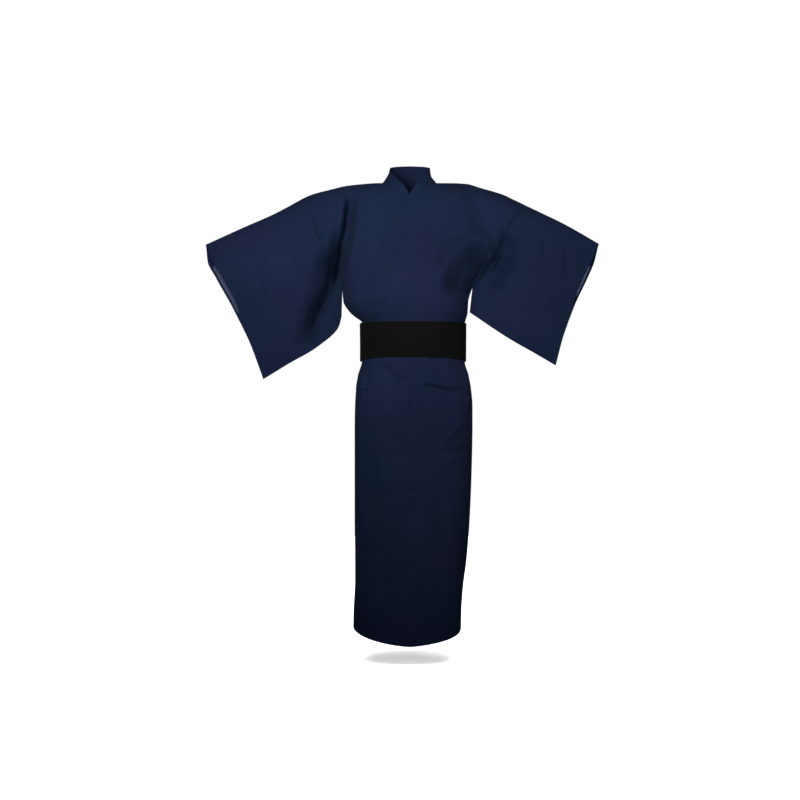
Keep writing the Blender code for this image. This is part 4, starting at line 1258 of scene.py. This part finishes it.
def yukata_cotton(name, finish, colour):
    """Plain-woven navy cotton with slubs, dyed a little unevenly and worn pale along its hems."""
    wiring = Wiring(name)
    lengths, place = wiring.lengths(), wiring.place()
    across, down = wiring.across_and_along(lengths)
    cloudy = wiring.noise(place, CLOUDS, detail=3.0)
    dyed = wiring.range(cloudy, NOISE_SPAN, 1 - finish.unevenness, 1 + finish.unevenness)
    warp_slubs = wiring.stretched_noise(lengths, WARP_SLUBS, detail=1.0)
    weft_slubs = wiring.stretched_noise(lengths, WEFT_SLUBS, detail=1.0)
    slubs = wiring.maths("ADD", warp_slubs, weft_slubs)
    slubs = wiring.maths("MULTIPLY_ADD", slubs, finish.slubs, 1 - finish.slubs)
    weave = wiring.product(wiring.wave(across, finish.weave_pitch), wiring.wave(down, finish.weave_pitch))
    threads = wiring.maths("MULTIPLY_ADD", weave, THREAD_CONTRAST, 1.0)
    worn = wiring.range(wiring.mark("hem_gap"), HEM_WORN, finish.wear, 0.0)
    specks = wiring.noise(place, WEAR_SPECKS, detail=3.0)
    worn = wiring.product(worn, wiring.range(specks, NOISE_MIDDLE, LEAST_WEAR, 1.0))
    pressed = wiring.range(wiring.mark("seam_gap"), SEAM_PRESSED, finish.wear * SEAM_WEAR, 0.0)
    tone = wiring.product(wiring.product(dyed, slubs), threads)
    tone = wiring.product(tone, wiring.maths("ADD", wiring.maths("ADD", worn, pressed), 1.0))
    hue = wiring.range(wiring.noise(place, HUE_CLOUDS), HUE_SPAN, 0.0, 1.0)
    tinted = wiring.blend(hue, tint(colour, WARM_DYE), tint(colour, COOL_DYE))
    # Painted highlight inside the cuffs: a pale colour, brightened by the mark's strength, blended in where
    # the mark is.
    mark = wiring.mark("cuff_highlight")
    cuff_highlight_colour = wiring.brighter(finish.cuff_highlight[:3], wiring.maths("MAXIMUM", mark, 1.0))
    dyed_cloth = wiring.blend(wiring.range(mark, NOISE_MIDDLE, 0.0, 1.0), tinted, cuff_highlight_colour)
    fuzz = wiring.stretched_noise(lengths, FUZZ, detail=2.0)
    soft = wiring.bump(wiring.stretched_noise(lengths, SOFT_CREASES, detail=3.0), *SOFT_BUMP)
    yarn = wiring.bump(slubs, *YARN_BUMP, soft)
    looks = {
        "Base Color": wiring.brighter(dyed_cloth, tone),
        "Roughness": wiring.maths("MULTIPLY_ADD", fuzz, *COTTON_ROUGHNESS),
        "Normal": wiring.bump(weave, *WEAVE_BUMP, yarn),
        "Specular IOR Level": DULL,
        "Sheen Weight": finish.sheen,
        "Sheen Roughness": COTTON_SHEEN_ROUGHNESS,
        "Sheen Tint": SHEEN_TINT,
    }
    wiring.fill(wiring.shader, looks)
    return wiring.material


def belt_weave(name, finish, colour):
    """Stiff matte black belting with fine ribs across its width."""
    wiring = Wiring(name)
    across, down = wiring.across_and_along(wiring.lengths())
    ribs = wiring.wave(down, finish.rib_pitch)
    threads = wiring.wave(across, finish.weave_pitch)
    uneven = wiring.range(wiring.noise(wiring.place(), BELT_CLOUDS, detail=3.0), NOISE_SPAN, *BELT_TONES)
    worn = wiring.range(wiring.mark("hem_gap"), BELT_WORN, finish.wear * BELT_WEAR, 0.0)
    tone = wiring.product(wiring.maths("MULTIPLY_ADD", ribs, RIB_CONTRAST, 1.0), uneven)
    tone = wiring.product(tone, wiring.maths("ADD", worn, 1.0))
    looks = {
        "Base Color": wiring.brighter(colour[:3], tone),
        "Roughness": wiring.maths("MULTIPLY_ADD", threads, *BELT_ROUGHNESS),
        "Normal": wiring.bump(threads, *THREAD_BUMP, wiring.bump(ribs, *RIB_BUMP)),
        "Specular IOR Level": DULL,
        "Sheen Weight": finish.sheen * BELT_SHEEN,
        "Sheen Roughness": BELT_SHEEN_ROUGHNESS,
    }
    wiring.fill(wiring.shader, looks)
    return wiring.material


def pale_floor(name):
    """Matte near-white paper."""
    wiring = Wiring(name)
    tone = wiring.range(wiring.noise(wiring.place(), FLOOR_CLOUDS), FLOOR_SPAN, FLOOR_LEAST, 1.0)
    looks = {
        "Base Color": wiring.brighter(FLOOR_COLOUR, tone),
        "Roughness": FLOOR_ROUGHNESS,
        "Specular IOR Level": DULL,
    }
    wiring.fill(wiring.shader, looks)
    return wiring.material


def studio_floor():
    """The floor, which lights nothing itself."""
    work = bmesh.new()
    bmesh.ops.create_grid(work, x_segments=1, y_segments=1, size=FLOOR_HALF)
    bmesh.ops.translate(work, verts=work.verts, vec=(0.0, 0.0, FLOOR))
    floor = added("studio_floor", mesh_from(work, "studio_floor"))
    floor.data.materials.append(pale_floor("pale floor"))
    floor.visible_diffuse = False
    floor.visible_glossy = False
    return floor


def studio_light(name, place, size, power, aim, only_floor):
    """A soft light on everything, or on the floor alone. Only the floor blocks the first floor light."""
    lamp = bpy.data.lights.new(name, "AREA")
    lamp.shape = "RECTANGLE"
    lamp.size, lamp.size_y = size
    lamp.energy = power
    light = added(name, lamp)
    light.location = place
    light.rotation_euler = (Vector(aim) - Vector(place)).to_track_quat("-Z", "Y").to_euler()
    light.visible_camera = False
    if name not in FLOOR_LIGHTS:
        lamp.spread = radians(BEAM)
    else:
        light.light_linking.receiver_collection = only_floor
    if name == FLOOR_LIGHTS[0]:
        light.light_linking.blocker_collection = only_floor


def studio_world():
    """White where the camera looks at it, and a faint even light on everything."""
    world = bpy.data.worlds.new("studio")
    world.use_nodes = True
    tree = world.node_tree
    backdrop, fill = tree.nodes["Background"], tree.nodes.new("ShaderNodeBackground")
    for shader, colour, strength in ((backdrop, BACKDROP_COLOUR, 1.0), (fill, ROOM_COLOUR, ROOM_LIGHT)):
        shader.inputs["Color"].default_value = colour
        shader.inputs["Strength"].default_value = strength
    rays = tree.nodes.new("ShaderNodeLightPath")
    either = tree.nodes.new("ShaderNodeMixShader")
    tree.links.new(rays.outputs["Is Camera Ray"], either.inputs["Fac"])
    tree.links.new(fill.outputs["Background"], either.inputs[1])
    tree.links.new(backdrop.outputs["Background"], either.inputs[2])
    tree.links.new(either.outputs["Shader"], tree.nodes["World Output"].inputs["Surface"])
    return world


def studio_camera():
    """The camera, level and straight in front."""
    lens = bpy.data.cameras.new("camera")
    lens.sensor_width = SENSOR
    lens.lens = LENS
    camera = added("camera", lens)
    camera.location = CAMERA
    camera.rotation_euler = (radians(90.0), 0.0, 0.0)
    return camera


class YukataSizes(bpy.types.PropertyGroup):
    """Thicknesses, and how fine the rows and columns are"""

    sheet: bpy.props.FloatProperty(
        name="Cloth thickness", description="Thickness of one layer of cotton",
        default=0.0004, unit="LENGTH", precision=5,
    )
    belt_sheet: bpy.props.FloatProperty(
        name="Belt layer", description="Thickness of one of the belt's two layers",
        default=0.0008, unit="LENGTH", precision=5,
    )
    layer: bpy.props.FloatProperty(
        name="Layer spacing", description="From one folded layer to the next",
        default=0.00055, unit="LENGTH", precision=5,
    )
    ripple: bpy.props.FloatProperty(
        name="Ripple", description="Height of the cloth's small unevenness",
        default=0.0012, unit="LENGTH", precision=5,
    )
    crease: bpy.props.FloatProperty(
        name="Crease", description="Strength of the fine creases",
        default=1.0, min=0.0,
    )
    chest_step: bpy.props.FloatProperty(
        name="Chest rows", description="Distance between rows above the belt",
        default=0.0045, unit="LENGTH", precision=5,
    )
    skirt_step: bpy.props.FloatProperty(
        name="Skirt rows", description="Distance between rows below the belt",
        default=0.0029, unit="LENGTH", precision=5,
    )
    hem_step: bpy.props.FloatProperty(
        name="Hem rows", description="Distance between rows towards the hem",
        default=0.0110, unit="LENGTH", precision=5,
    )
    columns: bpy.props.IntProperty(
        name="Body columns", description="Columns across a body panel",
        default=84,
    )
    overlap_columns: bpy.props.IntProperty(
        name="Overlap columns", description="Columns across an overlap",
        default=40,
    )
    sleeve_columns: bpy.props.IntProperty(
        name="Sleeve columns", description="Columns along a sleeve",
        default=120,
    )
    sleeve_rows: bpy.props.IntProperty(
        name="Sleeve rows", description="Rows on each side of a sleeve",
        default=130,
    )
    belt_steps: bpy.props.IntProperty(name="Belt steps", description="Steps round the belt", default=320)


class YukataFinish(bpy.types.PropertyGroup):
    """Colours, weave and wear"""

    navy: bpy.props.FloatVectorProperty(
        name="Cotton", description="Colour of the cotton",
        default=(0.0158, 0.0270, 0.0772), subtype="COLOR", size=3, min=0, max=1,
    )
    navy_band: bpy.props.FloatVectorProperty(
        name="Collar", description="Colour of the collar",
        default=(0.0147, 0.0256, 0.0724), subtype="COLOR", size=3, min=0, max=1,
    )
    black: bpy.props.FloatVectorProperty(
        name="Belt", description="Colour of the belt",
        default=(0.0050, 0.0048, 0.0056), subtype="COLOR", size=3, min=0, max=1,
    )
    weave_pitch: bpy.props.FloatProperty(
        name="Weave", description="Width of two threads of the weave",
        default=0.0011, unit="LENGTH", precision=5,
    )
    rib_pitch: bpy.props.FloatProperty(
        name="Ribs", description="Width of one rib of the belt",
        default=0.0016, unit="LENGTH", precision=5,
    )
    slubs: bpy.props.FloatProperty(
        name="Slubs", description="How uneven the yarns are",
        default=0.28, min=0, max=1,
    )
    unevenness: bpy.props.FloatProperty(
        name="Dye", description="How uneven the dye is",
        default=0.11, min=0, max=1,
    )
    wear: bpy.props.FloatProperty(
        name="Wear", description="How pale the edges have worn",
        default=0.45, min=0, max=2,
    )
    # Painted highlight: the pale colour painted on the strip inside the cuff openings, in place of light on
    # the cloth there.
    cuff_highlight: bpy.props.FloatVectorProperty(
        name="Cuff_highlight", description="Colour of the cloth's own edge",
        default=(0.105, 0.126, 0.225), subtype="COLOR", size=3, min=0, max=1,
    )
    sheen: bpy.props.FloatProperty(
        name="Sheen", description="Soft sheen of the fibres",
        default=0.025, min=0, max=1,
    )


def dressed(piece, node, material):
    """Gives a finished piece its material and its place in the frame."""
    piece.data.materials.append(material)
    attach(piece, "root")
    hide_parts(node)


def dressed_pair(context, make, kind):
    """Two like pieces, left and right, made and dressed."""
    finish = context.scene.yukata_finish
    cotton = bpy.data.materials.get("navy cotton") or yukata_cotton("navy cotton", finish, finish.navy)
    for name, side in ((kind + "_left", LEFT), (kind + "_right", RIGHT)):
        piece = make(name + "_cloth", side, context.scene.yukata_sizes)
        dressed(piece, name, cotton)


class YUKATA_OT_body_panels(bpy.types.Operator):
    """The two lengths of cloth that go over the shoulders"""

    bl_idname = "yukata.body_panels"
    bl_label = "Body panels"

    def execute(self, context):
        dressed_pair(context, body_panel, "body")
        return {"FINISHED"}


class YUKATA_OT_overlap_panels(bpy.types.Operator):
    """The panels that widen the two fronts"""

    bl_idname = "yukata.overlap_panels"
    bl_label = "Overlap panels"

    def execute(self, context):
        dressed_pair(context, overlap_panel, "overlap")
        return {"FINISHED"}


class YUKATA_OT_sleeves(bpy.types.Operator):
    """The two sleeves"""

    bl_idname = "yukata.sleeves"
    bl_label = "Sleeves"

    def execute(self, context):
        dressed_pair(context, sleeve, "sleeve")
        return {"FINISHED"}


class YUKATA_OT_collar(bpy.types.Operator):
    """The collar band round the neck and down both fronts"""

    bl_idname = "yukata.collar"
    bl_label = "Collar"

    def execute(self, context):
        sizes, finish = context.scene.yukata_sizes, context.scene.yukata_finish
        cotton = yukata_cotton("collar cotton", finish, finish.navy_band)
        piece = collar_band("collar_band", sizes)
        dressed(piece, "collar", cotton)
        return {"FINISHED"}


class YUKATA_OT_belt(bpy.types.Operator):
    """The belt round the waist"""

    bl_idname = "yukata.belt"
    bl_label = "Belt"

    def execute(self, context):
        sizes, finish = context.scene.yukata_sizes, context.scene.yukata_finish
        weave = belt_weave("black belting", finish, finish.black)
        piece = belt_band("belt_band", sizes)
        dressed(piece, "belt", weave)
        return {"FINISHED"}


class YUKATA_OT_stage(bpy.types.Operator):
    """The floor, the lights and the camera"""

    bl_idname = "yukata.stage"
    bl_label = "Stage"

    def execute(self, context):
        only_floor = bpy.data.collections.new("studio_floor_only")
        only_floor.objects.link(studio_floor())
        for light in LIGHTS:
            studio_light(*light, only_floor)
        context.scene.world = studio_world()
        context.scene.camera = studio_camera()
        context.scene.view_settings.view_transform = "Standard"
        return {"FINISHED"}


CLASSES = (
    YukataSizes,
    YukataFinish,
    YUKATA_OT_stage,
    YUKATA_OT_body_panels,
    YUKATA_OT_overlap_panels,
    YUKATA_OT_sleeves,
    YUKATA_OT_collar,
    YUKATA_OT_belt,
)


class YUKATA_PT_panel(bpy.types.Panel):
    """The pieces to build, with their sizes and colours"""

    bl_label = "Yukata"
    bl_idname = "YUKATA_PT_panel"
    bl_space_type = "VIEW_3D"
    bl_region_type = "UI"
    bl_category = "Yukata"

    def draw(self, context):
        for made in CLASSES[2:]:
            self.layout.operator(made.bl_idname)
        for group in (context.scene.yukata_sizes, context.scene.yukata_finish):
            box = self.layout.box()
            for name in group.__annotations__:
                box.prop(group, name)


def register():
    for made in (*CLASSES, YUKATA_PT_panel):
        bpy.utils.register_class(made)
    bpy.types.Scene.yukata_sizes = bpy.props.PointerProperty(type=YukataSizes)
    bpy.types.Scene.yukata_finish = bpy.props.PointerProperty(type=YukataFinish)


def unregister():
    del bpy.types.Scene.yukata_finish
    del bpy.types.Scene.yukata_sizes
    for made in reversed((*CLASSES, YUKATA_PT_panel)):
        bpy.utils.unregister_class(made)


def main():
    register()
    bpy.ops.yukata.stage()
    bpy.ops.yukata.body_panels()
    bpy.ops.yukata.overlap_panels()
    bpy.ops.yukata.sleeves()
    bpy.ops.yukata.collar()
    bpy.ops.yukata.belt()


if __name__ == "__main__":
    main()
